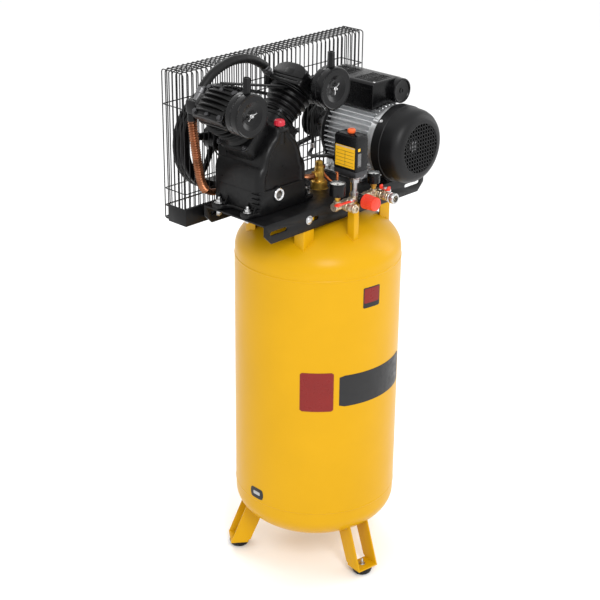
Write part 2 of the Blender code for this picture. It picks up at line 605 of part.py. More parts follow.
def drive_belt():
    """A V-belt's closed loop round two wheels, a rounded trapezium in section."""
    near, far = Vector((CRANK_X, CRANK_Z)), Vector((MOTOR_X, MOTOR_Z))
    line = far - near
    lean = math.degrees(math.atan2(line.y, line.x))
    spread = math.degrees(math.acos((FLYWHEEL_RADIUS - PULLEY_RADIUS) / line.length))

    def loop(depth):
        big = arc(near, FLYWHEEL_RADIUS + 0.0005 - depth, lean + spread, lean + 360 - spread, 30)
        small = arc(far, PULLEY_RADIUS + 0.0005 - depth, lean - spread, lean + spread, 14)
        return big + small

    rows = [(loop(0), -BELT_HALF_WIDTH), (loop(0), BELT_HALF_WIDTH),
            (loop(BELT_DEPTH), BELT_HALF_WIDTH - 0.0022), (loop(BELT_DEPTH), 0.0022 - BELT_HALF_WIDTH)]
    count = len(rows[0][0])
    points = [(x, BELT_Y + y, z) for outline, y in rows for x, z in outline]
    faces = []
    for row in range(4):
        low, high = row * count, (row + 1) % 4 * count
        for i in range(count):
            j = (i + 1) % count
            faces.append((low + i, low + j, high + j, high + i))
    node(solid(points, faces), "drive_belt", "rubber")


def belt_guard():
    """A basket open at the bottom, its top edges rounded, slotted for the two shafts."""
    low, high = Vector(GUARD[0]), Vector(GUARD[1])

    def shell(inset, drop):
        back, front = high.y - inset, low.y + inset
        top, radius = high.z - inset, GUARD_ROUND - inset
        outline = [(front, low.z - drop)] + arc((front + radius, top - radius), radius, 180, 90, 5)
        outline += arc((back - radius, top - radius), radius, 90, 0, 5) + [(back, low.z - drop)]
        return prism(outline, (low.x + inset, 0, 0), Y, Z, high.x - low.x - 2 * inset)

    slots = []
    for x, z, half in ((CRANK_X, CRANK_Z, 0.040), (MOTOR_X, MOTOR_Z, 0.034)):
        outline = [(x - half, low.z - 0.01), (x + half, low.z - 0.01)] + arc((x, z), half, 0, 180, 10)
        slots.append(slab(outline, low.y - 0.01, low.y + GUARD_SHEET + 0.01))
    node(cut(shell(0, 0), shell(GUARD_SHEET, 0.02), *slots), "belt_guard", "dark_mesh")


def guard_bracket():
    """A folded strip from the deck's back flange along the guard's front and round its left end."""
    front, low, high = GUARD[0][1] - GAP - 0.003, 0.909, 0.950
    left = GUARD[0][0] - GAP - 0.003
    run = box((left, front, low), (GUARD[1][0] - 0.020, front + 0.003, high))
    end = box((left, front, low), (left + 0.003, 0.193, high))
    ties = []
    for x in (-0.235, 0.225):
        ties.append(box((x - 0.016, DECK_HALF_WIDTH + GAP, 0.922), (x + 0.016, front + 0.001, 0.926)))
        ties.append(box((x - 0.016, DECK_HALF_WIDTH + GAP, 0.922), (x + 0.016, DECK_HALF_WIDTH + GAP + 0.004, 0.950)))
    gaps = []
    for x, half in ((CRANK_X, 0.020), (MOTOR_X, 0.020)):
        gaps.append(box((x - half, front - 0.01, 0.944), (x + half, front + 0.01, 1.0)))
    node(cut(joined(run, end, *ties), *gaps), "guard_bracket", "black_paint")


# ---------------------------------------------------------------- motor


def motor_housing():
    fins, root = 20, BODY_RADIUS - 0.007
    outline = []
    for i in range(fins):
        for share, radius in ((0.0, root), (0.50, root), (0.56, BODY_RADIUS), (0.94, BODY_RADIUS)):
            angle = math.tau * (i + share) / fins
            outline.append((MOTOR_X + radius * math.cos(angle), MOTOR_Z + radius * math.sin(angle)))
    body = slab(outline, BODY_FRONT, BODY_BACK)
    floor = DECK_TOP + GAP
    feet = box((MOTOR_X - 0.072, -0.048, floor), (MOTOR_X + 0.072, 0.078, floor + 0.009))
    legs = [box((MOTOR_X + x - 0.006, -0.040, floor), (MOTOR_X + x + 0.006, 0.070, MOTOR_Z - 0.040))
            for x in (-0.052, 0.052)]
    shield_profile = [(0, 0), (0.084, 0), (0.084, 0.010), (0.070, 0.020), (0.034, 0.026), (0.034, 0.034), (0, 0.034)]
    shield = turned(shield_profile, (MOTOR_X, BODY_BACK - 0.002, MOTOR_Z), Y, 22)
    rear = turned([(0, 0), (0.0745, 0), (0.071, 0.015), (0.026, 0.019), (0.026, 0.023), (0, 0.023)],
                  (MOTOR_X, BODY_FRONT + 0.005, MOTOR_Z), -Y, 20)
    body = joined(body, feet, *legs, shield, rear)
    stator = rod((MOTOR_X, -0.070, MOTOR_Z), (MOTOR_X, 0.072, MOTOR_Z), 0.042, 24)
    bore = rod((MOTOR_X, -0.2, MOTOR_Z), (MOTOR_X, 0.2, MOTOR_Z), 0.0135 + RUNNING_GAP)
    holes = [rod((MOTOR_X + x, y, 0.95), (MOTOR_X + x, y, 1.0), 0.0045, 12)
             for x in (-0.064, 0.064) for y in (-0.030, 0.060)]
    node(cut(body, stator, bore, *holes), "motor_housing", "aluminium")


def motor_rotor():
    def length(low, high, radius, sides=16):
        return rod((MOTOR_X, low, MOTOR_Z), (MOTOR_X, high, MOTOR_Z), radius, sides)
    body = joined(length(-0.144, 0.150, 0.0130), length(0.145, 0.188, 0.0095), length(-0.060, 0.062, 0.0405, 24))
    node(body, "motor_rotor", "steel", (MOTOR_X, 0, MOTOR_Z))
    hub = ring((MOTOR_X, -0.142, MOTOR_Z), (MOTOR_X, -0.116, MOTOR_Z), 0.024, 0.0130 + GAP)
    plate = ring((MOTOR_X, -0.122, MOTOR_Z), (MOTOR_X, -0.118, MOTOR_Z), 0.074, 0.018, 24)
    blades = []
    for i in range(7):
        turn = Matrix.Rotation(math.tau * (i + 0.3) / 7, 4, "Y")
        blade = box((0.0215, -0.1435, -0.0015), (0.0725, -0.1195, 0.0015))
        blade.data.transform(Matrix.Translation((MOTOR_X, 0, MOTOR_Z)) @ turn)
        blades.append(blade)
    node(joined(plate, hub, *blades), "cooling_fan", "black_plastic", (MOTOR_X, -0.129, MOTOR_Z))


def fan_cover():
    """A drawn cup whose face is slotted for the fan's air."""
    depth = BODY_FRONT - GAP - FAN_COVER_FRONT
    outer, face, wall = FAN_COVER_RADIUS, FAN_COVER_FACE_RADIUS, 0.0022
    bend = outer - face
    corner = arc((face, depth - bend * 1.2), bend, 0, 90, 5)
    outside = [(outer, 0)] + [(r, depth - bend * 1.2 + (h - depth + bend * 1.2) * 1.2) for r, h in corner]
    inside = [(r - wall, h - wall) if h > 0 else (r - wall, 0) for r, h in outside]
    profile = outside + [(0, depth), (0, depth - wall)] + inside[::-1]
    body = turned(profile, (MOTOR_X, BODY_FRONT - GAP, MOTOR_Z), -Y, 28)
    slots = []
    for row in range(-2, 3):
        z = row * 0.026
        half = math.sqrt(0.070**2 - z**2) - 0.004
        slots.append(box((MOTOR_X - half, FAN_COVER_FRONT - 0.01, MOTOR_Z + z - 0.004),
                         (MOTOR_X + half, FAN_COVER_FRONT + 0.01, MOTOR_Z + z + 0.004)))
    node(cut(body, *slots), "fan_cover", "black_plastic")


def terminal_box():
    """The motor's terminal box, its right side rounded over a capacitor whose end stands out at the front."""
    low, high = (0.112, -0.062, 1.1476), (0.230, 0.110, 1.2051)
    capacitor = (0.1997, 1.1748)
    outline = [(low[0], low[2]), (0.2140, low[2])]
    outline += arc(capacitor, high[2] - capacitor[1], -58, 90, 9)
    outline += arc((low[0] + 0.008, high[2] - 0.008), 0.008, 90, 180, 3)
    body = slab(outline, low[1], high[1])
    end = rod((capacitor[0], -0.079, capacitor[1]), (capacitor[0], -0.040, capacitor[1]), 0.0297, 24)
    hollow = box((low[0] + 0.004, low[1] + 0.004, low[2] - 0.01), (0.166, high[1] - 0.004, high[2] - 0.018))
    node(cut(joined(body, end), hollow), "terminal_box", "black_plastic")


# ---------------------------------------------------------------- controls


def check_valve():
    hexagon = turned([(0, 0.9345), (0.0205, 0.9345), (0.0205, 0.983), (0, 0.983)], sides=6)
    shank = rod((0, 0, 0.915), (0, 0, 0.940), BUNG_BORE - 0.0004)
    neck = rod((0, 0, 0.980), (0, 0, 1.020), 0.0115)
    inlet = rod((0, 0, 0.998), (-0.021, 0, 0.998), 0.0110, 16)
    unloader = rod((0, 0, 0.974), (0.026, -0.008, 0.974), 0.005, 12)
    top = turned([(0, 1.018), (0.0085, 1.018), (0.0085, 1.029), (0.006, 1.032), (0, 1.032)], sides=16)
    node(joined(hexagon, shank, neck, inlet, unloader, top), "check_valve", "brass")


def manifold():
    """The brass pipework on the tank's outlet post, with the regulator's body."""
    x, y = POST_CENTRE
    nut = turned([(0, POST_TOP + GAP), (0.0145, POST_TOP + GAP), (0.0145, 0.972), (0, 0.972)], (x, y, 0), Z, 6)
    pipe = rod((-0.100, PIPE_Y, PIPE_Z), (0.056, PIPE_Y, PIPE_Z), 0.0095)
    regulator = turned([(0, 0), (0.0125, 0), (0.0125, 0.025), (0.010, 0.028), (0.010, 0.030), (0, 0.030)],
                       (-0.016, PIPE_Y + 0.008, PIPE_Z), -Y, 16)
    tees = [rod((tee_x, PIPE_Y, PIPE_Z), (tee_x, PIPE_Y, 0.988), 0.0075, 12) for tee_x in (-0.087, 0.036, -0.030)]
    outlets = [rod((outlet_x, PIPE_Y, PIPE_Z), (outlet_x, PIPE_Y - 0.014, PIPE_Z), 0.008, 12)
               for outlet_x in (-0.072, 0.044)]
    node(joined(pipe, nut, regulator, *tees, *outlets), "manifold", "brass")
    knob = turned([(0, 0), (0.0175, 0.001), (0.0175, 0.026), (0.0155, 0.032), (0.009, 0.034), (0, 0.034)],
                  (-0.016, PIPE_Y + 0.008 - 0.0303, PIPE_Z), -Y, 24)
    node(knob, "regulator_knob", "red_plastic", (-0.016, PIPE_Y - 0.03, PIPE_Z))


def gauge(name, x, radius, base, top):
    """A dial gauge that faces up: a cup on a stem, and the pointer over its dial."""
    y = PIPE_Y
    profile = [(0, 0.9883), (0.005, 0.9883), (0.005, base), (radius, base), (radius, top),
               (radius - 0.0022, top), (radius - 0.0022, top - 0.005), (0, top - 0.005)]
    node(turned(profile, (x, y, 0), Z, 24), name + "_gauge", "black_plastic")
    boss = turned([(0, top - 0.0046), (0.0022, top - 0.0046), (0.0022, top - 0.0024), (0, top - 0.0024)],
                  (x, y, 0), Z, 12)
    hand = box((x - 0.0005, y - 0.004, top - 0.0040), (x + 0.0005, y + radius * 0.66, top - 0.0032))
    hand.data.transform(Matrix.Translation((x, y, 0)) @ Matrix.Rotation(math.radians(135), 4, "Z")
                        @ Matrix.Translation((-x, -y, 0)))
    node(joined(boss, hand), name + "_gauge_needle", "rubber", (x, y, top))


def outlet_valves():
    z = PIPE_Z
    start = PIPE_Y - 0.0143
    for side, x, end in (("left", -0.072, -0.184), ("right", 0.044, -0.188)):
        body = rod((x, start, z), (x, end, z), 0.0075, 16)
        ball = turned([(0, -0.011), (0.0085, -0.011), (0.0115, -0.006), (0.0115, 0.006), (0.0085, 0.011), (0, 0.011)],
                      (x, -0.166, z), -Y, 16)
        stem = rod((x, -0.166, z), (x, -0.166, z + 0.0145), 0.005, 12)
        bore = rod((x, start - 0.004, z), (x, end - 0.01, z), 0.0045, 12)
        node(cut(joined(body, ball, stem), bore), f"outlet_valve_{side}", "brass")
        pivot = (x, -0.166, z + 0.0148)
        plate = rod(pivot, Vector(pivot) + Z * 0.004, 0.007, 16)
        if side == "left":
            grip = box((x - 0.052, -0.171, pivot[2] + 0.001), (x, -0.161, pivot[2] + 0.008))
        else:
            grip = box((x - 0.004, -0.181, pivot[2] + 0.001), (x + 0.004, -0.151, pivot[2] + 0.010))
        node(joined(plate, grip), f"outlet_lever_{side}", "red_plastic", pivot)
    sleeve = ring((0.044, -0.1815, z), (0.044, -0.1990, z), 0.0125, 0.0080, 20)
    node(sleeve, "coupler_sleeve", "chrome", (0.044, -0.186, z))


def safety_valve():
    x, y = 0.000, PIPE_Y + 0.0300
    feed = rod((x, PIPE_Y + 0.0105, PIPE_Z), (x, y, PIPE_Z), 0.0055, 12)
    body = turned([(0, 0.965), (0.0075, 0.965), (0.0075, 1.000), (0.005, 1.004), (0, 1.004)], (x, y, 0), Z, 12)
    node(joined(body, feed), "safety_valve", "brass")
    pull = turned([(0, 1.0045), (0.0035, 1.0045), (0.0035, 1.010), (0.0095, 1.010), (0.0095, 1.013), (0, 1.013)],
                  (x, y, 0), Z, 16)
    node(pull, "safety_valve_pull", "chrome", (x, y, 1.0045))


def pressure_switch():
    low, high = SWITCH
    base = box((low[0], low[1], 1.040), (high[0], high[1], low[2] - GAP))
    works = box((low[0] + 0.006, low[1] + 0.008, 1.045), (high[0] - 0.006, high[1] - 0.008, 1.095))
    stem = rod((-0.030, PIPE_Y, 0.9883), (-0.030, PIPE_Y, 1.045), 0.007, 16)
    node(joined(base, works, stem), "pressure_switch_base", "black_casting")
    wall = 0.002
    cover = box(low, high)
    inside = box((low[0] + wall, low[1] + wall, low[2] - 0.01), (high[0] - wall, high[1] - wall, high[2] - wall))
    middle = ((low[0] + high[0]) / 2, (low[1] + high[1]) / 2)
    hole = rod((*middle, high[2] - 0.01), (*middle, high[2] + 0.01), 0.005, 16)
    node(cut(cover, inside, hole), "pressure_switch_cover", "black_plastic")
    knob = turned([(0, -0.020), (0.0042, -0.020), (0.0042, 0.0005), (0.0105, 0.0005), (0.0105, 0.0075),
                   (0.009, 0.010), (0, 0.010)], (*middle, high[2]), Z, 20)
    node(knob, "switch_knob", "red_plastic", (*middle, high[2]))
    hose("unloader_tube", "copper",
         [(0.0268, -0.0083, 0.974), (0.035, -0.011, 0.974), (0.037, -0.022, 0.990), (0.018, -0.030, 1.014),
          (0.000, -0.040, 1.030), (-0.020, -0.056, 1.040), (-0.028, -0.076, 1.046), (-0.028, -0.0894, 1.046)],
         0.0025, 0.011, 1)


def main():
    for old in list(bpy.data.objects):
        bpy.data.objects.remove(old)
    tank_barrel()
    tank_top_head()
    tank_bottom_head()
    for side, azimuth in LEG_AZIMUTHS.items():
        leg(side, azimuth)
    drain_valve()
    deck_brackets()
    deck_plate()
    crankcase()
    crankshaft()
    for side in ("left", "right"):
        piston_and_rod(side)
        cylinder(side)
        cylinder_head(side)
        air_filter(side)
    pump_pipes()
    flywheel()
    motor_pulley()
    drive_belt()
    belt_guard()
    guard_bracket()
    motor_housing()
    motor_rotor()
    fan_cover()
    terminal_box()
    check_valve()
    manifold()
    gauge("tank", -0.087, 0.019, 1.000, 1.031)
    gauge("line", 0.036, 0.0155, 1.0015, 1.027)
    outlet_valves()
    safety_valve()
    pressure_switch()


main()
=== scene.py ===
"""Looks for a vertical tank compressor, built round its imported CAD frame."""
import json
from math import acos, atan2, copysign, cos, hypot, pi, radians, sin, sqrt, tau

import bmesh
import bpy
from mathutils import Matrix, Vector


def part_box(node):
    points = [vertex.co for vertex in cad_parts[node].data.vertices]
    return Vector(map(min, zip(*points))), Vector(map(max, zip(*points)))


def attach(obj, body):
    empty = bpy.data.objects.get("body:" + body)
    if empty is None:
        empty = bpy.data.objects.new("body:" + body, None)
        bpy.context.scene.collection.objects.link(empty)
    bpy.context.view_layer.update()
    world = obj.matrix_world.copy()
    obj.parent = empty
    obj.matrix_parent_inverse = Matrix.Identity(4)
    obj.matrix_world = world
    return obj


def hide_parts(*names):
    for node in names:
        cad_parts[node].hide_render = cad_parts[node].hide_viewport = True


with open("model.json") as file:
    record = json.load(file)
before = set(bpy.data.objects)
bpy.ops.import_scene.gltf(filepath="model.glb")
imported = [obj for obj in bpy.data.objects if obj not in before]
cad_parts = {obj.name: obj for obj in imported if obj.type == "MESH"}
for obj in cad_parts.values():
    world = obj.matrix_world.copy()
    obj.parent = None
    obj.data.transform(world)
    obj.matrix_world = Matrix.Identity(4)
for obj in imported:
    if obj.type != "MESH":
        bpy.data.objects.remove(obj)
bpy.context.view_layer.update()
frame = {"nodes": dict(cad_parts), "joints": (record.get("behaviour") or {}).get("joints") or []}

X, Y, Z = Vector((1, 0, 0)), Vector((0, 1, 0)), Vector((0, 0, 1))
JOINTS = {joint["name"]: joint for joint in frame["joints"]}
SMOOTH_ANGLE = 34  # degrees an edge may turn and still be shaded smooth


# ---------------------------------------------------------------- outlines


def mm(*values, size=2):
    """Points from a plain run of numbers in millimetres."""
    return [tuple(v / 1000 for v in values[i:i + size]) for i in range(0, len(values), size)]


def near(u, v, *values):
    """Points at offsets in millimetres from (u, v)."""
    return [(u + a, v + b) for a, b in mm(*values)]


def turns(steps):
    """Evenly spaced angles once round."""
    return [tau * i / steps for i in range(steps)]


def flat_way(angle):
    """The level direction at an angle about Z."""
    return Vector((cos(angle), sin(angle), 0))


def face_way(angle):
    """The upright direction at an angle about Y."""
    return Vector((cos(angle), 0, sin(angle)))


def middle_of(node):
    """The middle of a node's box, brought down to the floor."""
    low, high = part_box(node)
    return Vector(((low.x + high.x) / 2, (low.y + high.y) / 2, 0))


def arc(centre, radius, start, end, steps):
    angles = [radians(start + (end - start) * i / steps) for i in range(steps + 1)]
    return [(centre[0] + radius * cos(a), centre[1] + radius * sin(a)) for a in angles]


def circle(radius, steps=32):
    return arc((0, 0), radius, 0, 360, steps)[:-1]


def rectangle(low_u, low_v, high_u, high_v):
    return [(low_u, low_v), (high_u, low_v), (high_u, high_v), (low_u, high_v)]


def rounded(outline, radius, steps=4, skip_axis=False):
    """The closed outline with each corner turned into a short curve."""
    result = []
    for i, corner in enumerate(outline):
        here = Vector(corner)
        before, after = Vector(outline[i - 1]) - here, Vector(outline[(i + 1) % len(outline)]) - here
        cut = min(radius, before.length * 0.45, after.length * 0.45)
        straight = cut < 1e-6 or abs(before.normalized().cross(after.normalized())) < 0.05
        if straight or skip_axis and here.x < 1e-6:
            result.append(tuple(here))
            continue
        first, last = here + before.normalized() * cut, here + after.normalized() * cut
        for step in range(steps + 1):
            t = step / steps
            result.append(tuple(first * (1 - t) ** 2 + here * 2 * t * (1 - t) + last * t**2))
    return result


def inset(outline, amount):
    """The outline moved inwards, point for point."""
    area = sum(a[0] * b[1] - b[0] * a[1] for a, b in zip(outline, outline[1:] + outline[:1]))
    sign = 1 if area > 0 else -1
    moved = []
    for i, corner in enumerate(outline):
        here = Vector(corner)
        back = (here - Vector(outline[i - 1])).normalized()
        ahead = (Vector(outline[(i + 1) % len(outline)]) - here).normalized()
        first, last = Vector((-back.y, back.x)) * sign, Vector((-ahead.y, ahead.x)) * sign
        middle = (first + last) / max(1 + first.dot(last), 0.4)
        moved.append(tuple(here + middle * amount))
    return moved


def smooth(points, spacing):
    """A curve through the points, at even steps."""
    points = [Vector(p) for p in points]
    padded = [points[0] * 2 - points[1], *points, points[-1] * 2 - points[-2]]
    dense = []
    for a, b, c, d in zip(padded, padded[1:], padded[2:], padded[3:]):
        for t in [step / 16 for step in range(16)]:
            bend, twist = 2 * a - 5 * b + 4 * c - d, 3 * b - a - 3 * c + d
            dense.append(0.5 * (2 * b + (c - a) * t + bend * t**2 + twist * t**3))
    dense.append(points[-1])
    total = sum((b - a).length for a, b in zip(dense, dense[1:]))
    count = max(2, round(total / spacing))
    result, travelled, target = [dense[0]], 0.0, total / count
    for a, b in zip(dense, dense[1:]):
        length = (b - a).length
        while len(result) < count and travelled + length >= target * len(result):
            result.append(a.lerp(b, (target * len(result) - travelled) / length))
        travelled += length
    return result + [dense[-1]]


# ---------------------------------------------------------------- shapes


class Shape:
    """Closed shells gathered into one mesh."""

    def __init__(self):
        self.mesh = bmesh.new()

    def add(self, points, faces):
        corners = [self.mesh.verts.new(p) for p in points]
        for face in faces:
            self.mesh.faces.new([corners[i] for i in face])
        return self

    def lathe(self, profile, origin=(0, 0, 0), axis=Z, sides=48, soft=0.0, wave=None):
        """A closed (radius, height) profile turned about an axis; wave changes a radius with its angle."""
        if soft:
            profile = rounded(profile, soft, 3, skip_axis=True)
        basis = Vector(axis).to_track_quat("Z", "Y").to_matrix()
        origin = Vector(origin)
        points, rings = [], []
        for radius, height in profile:
            count = sides if radius > 1e-6 else 1
            rings.append([len(points) + i for i in range(count)])
            for i in range(count):
                angle = tau * i / sides
                reach = radius + (wave(angle, height) if wave and radius > 1e-6 else 0)
                points.append(origin + basis @ Vector((reach * cos(angle), reach * sin(angle), height)))
        faces = []
        for low, high in zip(rings, rings[1:] + rings[:1]):
            for i in range(sides):
                j = (i + 1) % sides
                corners = (low[i % len(low)], low[j % len(low)], high[j % len(high)], high[i % len(high)])
                face = tuple(dict.fromkeys(corners))
                if len(face) > 2:
                    faces.append(face)
        return self.add(points, faces)

    def rod(self, radius, low, high, *place, **options):
        return self.lathe([(0, low), (radius, low), (radius, high), (0, high)], *place, **options)

    def ring(self, inner, outer, low, high, *place, **options):
        return self.lathe([(inner, low), (outer, low), (outer, high), (inner, high)], *place, **options)

    def loft(self, rings, closed=False):
        """Equal rings of points joined in order, with a cap at each end."""
        count = len(rings[0])
        points = [p for ring in rings for p in ring]
        faces = []
        for row in range(len(rings) if closed else len(rings) - 1):
            low, high = row * count, (row + 1) % len(rings) * count
            faces += [(low + i, low + (i + 1) % count, high + (i + 1) % count, high + i)
                for i in range(count)]
        if not closed:
            faces += [tuple(range(count)), tuple(range(len(points) - count, len(points)))]
        return self.add(points, faces)

    def prism(self, outline, origin, along_u, along_v, low, high, edge=0.0, steps=2):
        """An outline in the plane of two directions, filled from low to high along their normal."""
        origin, along_u, along_v = Vector(origin), Vector(along_u), Vector(along_v)
        normal = along_u.cross(along_v)
        levels = [(low, 0), (high, 0)]
        if edge:
            quarter = [pi / 2 * i / steps for i in range(steps + 1)]
            ease = [(edge * (1 - sin(t)), edge * (1 - cos(t))) for t in quarter]
            levels = [(low + lift, pull) for pull, lift in ease]
            levels += [(high - lift, pull) for pull, lift in reversed(ease)]
        rings = []
        for level, pull in levels:
            ring = inset(outline, pull) if pull else outline
            rings.append([origin + along_u * u + along_v * v + normal * level for u, v in ring])
        return self.loft(rings)

    def box(self, low, high, edge=0.0, corner=None):
        outline = rectangle(low[0], low[1], high[0], high[1])
        if edge:
            outline = rounded(outline, edge if corner is None else corner, 3)
        return self.prism(outline, (0, 0, 0), X, Y, low[2], high[2], edge)

    def sweep(self, path, radius, sides=12, flat=1.0, closed=False, up=Z):
        """A round or oval tube along a path; radius may change with the share of the way."""
        path = [Vector(p) for p in path]
        count = len(path)
        side = None
        rings = []
        for i, here in enumerate(path):
            if closed:
                along = path[(i + 1) % count] - path[i - 1]
            else:
                along = path[min(i + 1, count - 1)] - path[max(i - 1, 0)]
            along.normalize()
            if side is None:
                side = along.cross(up)
                if side.length < 1e-3:
                    side = along.cross(X)
            side = (side - along * side.dot(along)).normalized()
            other = along.cross(side)
            reach = radius(i / (count - 1)) if callable(radius) else radius
            rings.append([here + side * reach * u + other * reach * flat * v for u, v in circle(1, sides)])
        return self.loft(rings, closed)

    def nut(self, origin, axis, across, low, high):
        """A hexagon across its flats, its corners chamfered on both ends."""
        radius = across / sqrt(3)
        basis = Vector(axis).to_track_quat("Z", "Y").to_matrix()
        outline = rounded(circle(radius, 6), radius * 0.06, 1)
        return self.prism(outline, origin, basis @ X, basis @ Y, low, high, radius * 0.08, 1)

    def bolt(self, origin, axis, across, height, thread=0.0):
        """A washer, a hexagon head, and the thread's end if it stands out."""
        start = 0.0011
        self.rod(across * 0.85, 0, 0.0012, origin, axis, 24, 0.0004)
        self.nut(origin, axis, across, start, start + height)
        if thread:
            ridges = []
            steps = max(2, round(thread / 0.0012))
            for i in range(steps):
                low = start + height - 0.0004 + thread * i / steps
                ridges += [(across * 0.29, low), (across * 0.25, low + thread / steps * 0.5)]
            top = start + height + thread
            self.lathe([(0, start), (across * 0.27, start), *ridges, (across * 0.22, top), (0, top)], origin,
                axis, 16)
        return self


def link(name, data):
    made = bpy.data.objects.new(name, data)
    bpy.context.scene.collection.objects.link(made)
    return made


def carve(made, cutter):
    """Takes the cutter's solids out of a finished mesh."""
    bmesh.ops.recalc_face_normals(cutter.mesh, faces=cutter.mesh.faces)
    data = bpy.data.meshes.new("cutter")
    cutter.mesh.to_mesh(data)
    tool = link("cutter", data)
    modifier = made.modifiers.new("cut", "BOOLEAN")
    modifier.operation, modifier.solver, modifier.object = "DIFFERENCE", "EXACT", tool
    modifier.use_self = True
    graph = bpy.context.evaluated_depsgraph_get()
    result = bpy.data.meshes.new_from_object(made.evaluated_get(graph))
    made.modifiers.clear()
    old, made.data = made.data, result
    bpy.data.meshes.remove(old)
    bpy.data.objects.remove(tool)


def shade(made, angle):
    """Smooth faces, with an edge kept sharp where it turns by more than the angle."""
    mesh = bmesh.new()
    mesh.from_mesh(made.data)
    for face in mesh.faces:
        face.smooth = True
    for edge in mesh.edges:
        edge.smooth = len(edge.link_faces) == 2 and edge.calc_face_angle(0) < radians(angle)
    mesh.to_mesh(made.data)
    mesh.free()


def piece(name, shape, finish, *nodes, body="tank", slotted=False, cutter=None, angle=SMOOTH_ANGLE):
    """Makes a shape an object that rides on a body and stands for its nodes."""
    bmesh.ops.recalc_face_normals(shape.mesh, faces=shape.mesh.faces)
    data = bpy.data.meshes.new(name)
    shape.mesh.to_mesh(data)
    shape.mesh.free()
    made = link(name, data)
    made.data.materials.append(finish)
    if cutter:
        carve(made, cutter)
    shade(made, angle)
    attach(made, body)
    if nodes:
        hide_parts(*nodes)
    return made


def squared(half):
    """For a lathe: turns its round into a round-cornered square of the given half width."""
    power = 7
    return lambda angle, _: half / (abs(cos(angle)) ** power + abs(sin(angle)) ** power) ** (1 / power) - half


def ripple(depth, count, low=0.0, high=10.0):
    """For a lathe: ripples of the given depth between two heights."""
    return lambda angle, height: depth * sin(angle * count) if low < height < high else 0


def eased_node(node, finish, edge):
    """A CAD node's own shape with its edges broken, shown in the node's place."""
    shape = Shape()
    shape.mesh.from_mesh(frame["nodes"][node].data)
    bmesh.ops.remove_doubles(shape.mesh, verts=shape.mesh.verts, dist=1e-5)
    bmesh.ops.dissolve_limit(shape.mesh, angle_limit=radians(1), verts=shape.mesh.verts,
        edges=shape.mesh.edges)
    sharp = [e for e in shape.mesh.edges if len(e.link_faces) == 2 and e.calc_face_angle(0) > radians(40)]
    bmesh.ops.bevel(shape.mesh, geom=sharp, offset=edge, offset_type="OFFSET", segments=2, profile=0.5,
        affect="EDGES", clamp_overlap=True)
    piece(node + "_shape", shape, finish, node)


# ---------------------------------------------------------------- finishes


def finish(name, slot, colour, roughness, metallic, tone, patch, grain, depth, strength, uneven=0.1,
        stretch=(1, 1, 1), coat=0.0, dust=0.0, specular=0.5, alpha=1.0):
    """A surface with uneven colour, uneven gloss and a fine relief, all from noise in the object's own space.

    tone is how much the colour varies, patch and grain are the scales of its variation and of its relief,
    and depth is the relief's depth in millimetres.
    """
    made = bpy.data.materials.new(name)
    made.use_nodes = True
    made.diffuse_color = (*colour, 1)
    nodes, links = made.node_tree.nodes, made.node_tree.links
    shader = nodes["Principled BSDF"]
    shader.inputs["Metallic"].default_value = metallic
    shader.inputs["Specular IOR Level"].default_value = specular
    if alpha < 1:
        shader.inputs["Alpha"].default_value = alpha
    if coat:
        shader.inputs["Coat Weight"].default_value = coat
        shader.inputs["Coat Roughness"].default_value = 0.12
    place, mapping = nodes.new("ShaderNodeTexCoord"), nodes.new("ShaderNodeMapping")
    mapping.inputs["Scale"].default_value = stretch
    links.new(place.outputs["Object"], mapping.inputs["Vector"])

    def noise(scale, detail):
        texture = nodes.new("ShaderNodeTexNoise")
        for socket, value in (("Scale", scale), ("Detail", detail), ("Roughness", 0.6)):
            texture.inputs[socket].default_value = value
        links.new(mapping.outputs["Vector"], texture.inputs["Vector"])
        return texture.outputs["Fac"]

    def ranged(source, low, high, start=0.3, end=0.7):
        node = nodes.new("ShaderNodeMapRange")
        for socket, value in (("From Min", start), ("From Max", end), ("To Min", low), ("To Max", high)):
            node.inputs[socket].default_value = value
        links.new(source, node.inputs["Value"])
        return node.outputs["Result"]

    def mixed(factor, first, second):
        node = nodes.new("ShaderNodeMix")
        node.data_type = "RGBA"
        links.new(factor, node.inputs["Factor"])
        for socket, value in (("A", first), ("B", second)):
            target = [s for s in node.inputs if s.name == socket and s.type == "RGBA"][0]
            if isinstance(value, tuple):
                target.default_value = value
            else:
                links.new(value, target)
        return [s for s in node.outputs if s.type == "RGBA"][0]

    broad, fine = noise(patch, 4.0), noise(grain, 2.0)
    dark = tuple(c * (1 - tone) for c in colour) + (1,)
    light = tuple(min(1, c * (1 + tone)) for c in colour) + (1,)
    shown = mixed(ranged(broad, 0, 1), dark, light)
    if dust:
        grey = tuple(0.75 * c + 0.25 * 0.32 for c in colour) + (1,)
        shown = mixed(ranged(noise(patch * 3.3, 8.0), 0, dust, 0.52, 0.8), shown, grey)
    links.new(shown, shader.inputs["Base Color"])
    links.new(ranged(noise(patch * 2.7, 5.0), max(0.03, roughness - uneven), min(1, roughness + uneven)),
        shader.inputs["Roughness"])
    relief = nodes.new("ShaderNodeBump")
    relief.inputs["Strength"].default_value = strength
    relief.inputs["Distance"].default_value = depth / 1000
    links.new(fine, relief.inputs["Height"])
    links.new(relief.outputs["Normal"], shader.inputs["Normal"])
    return made


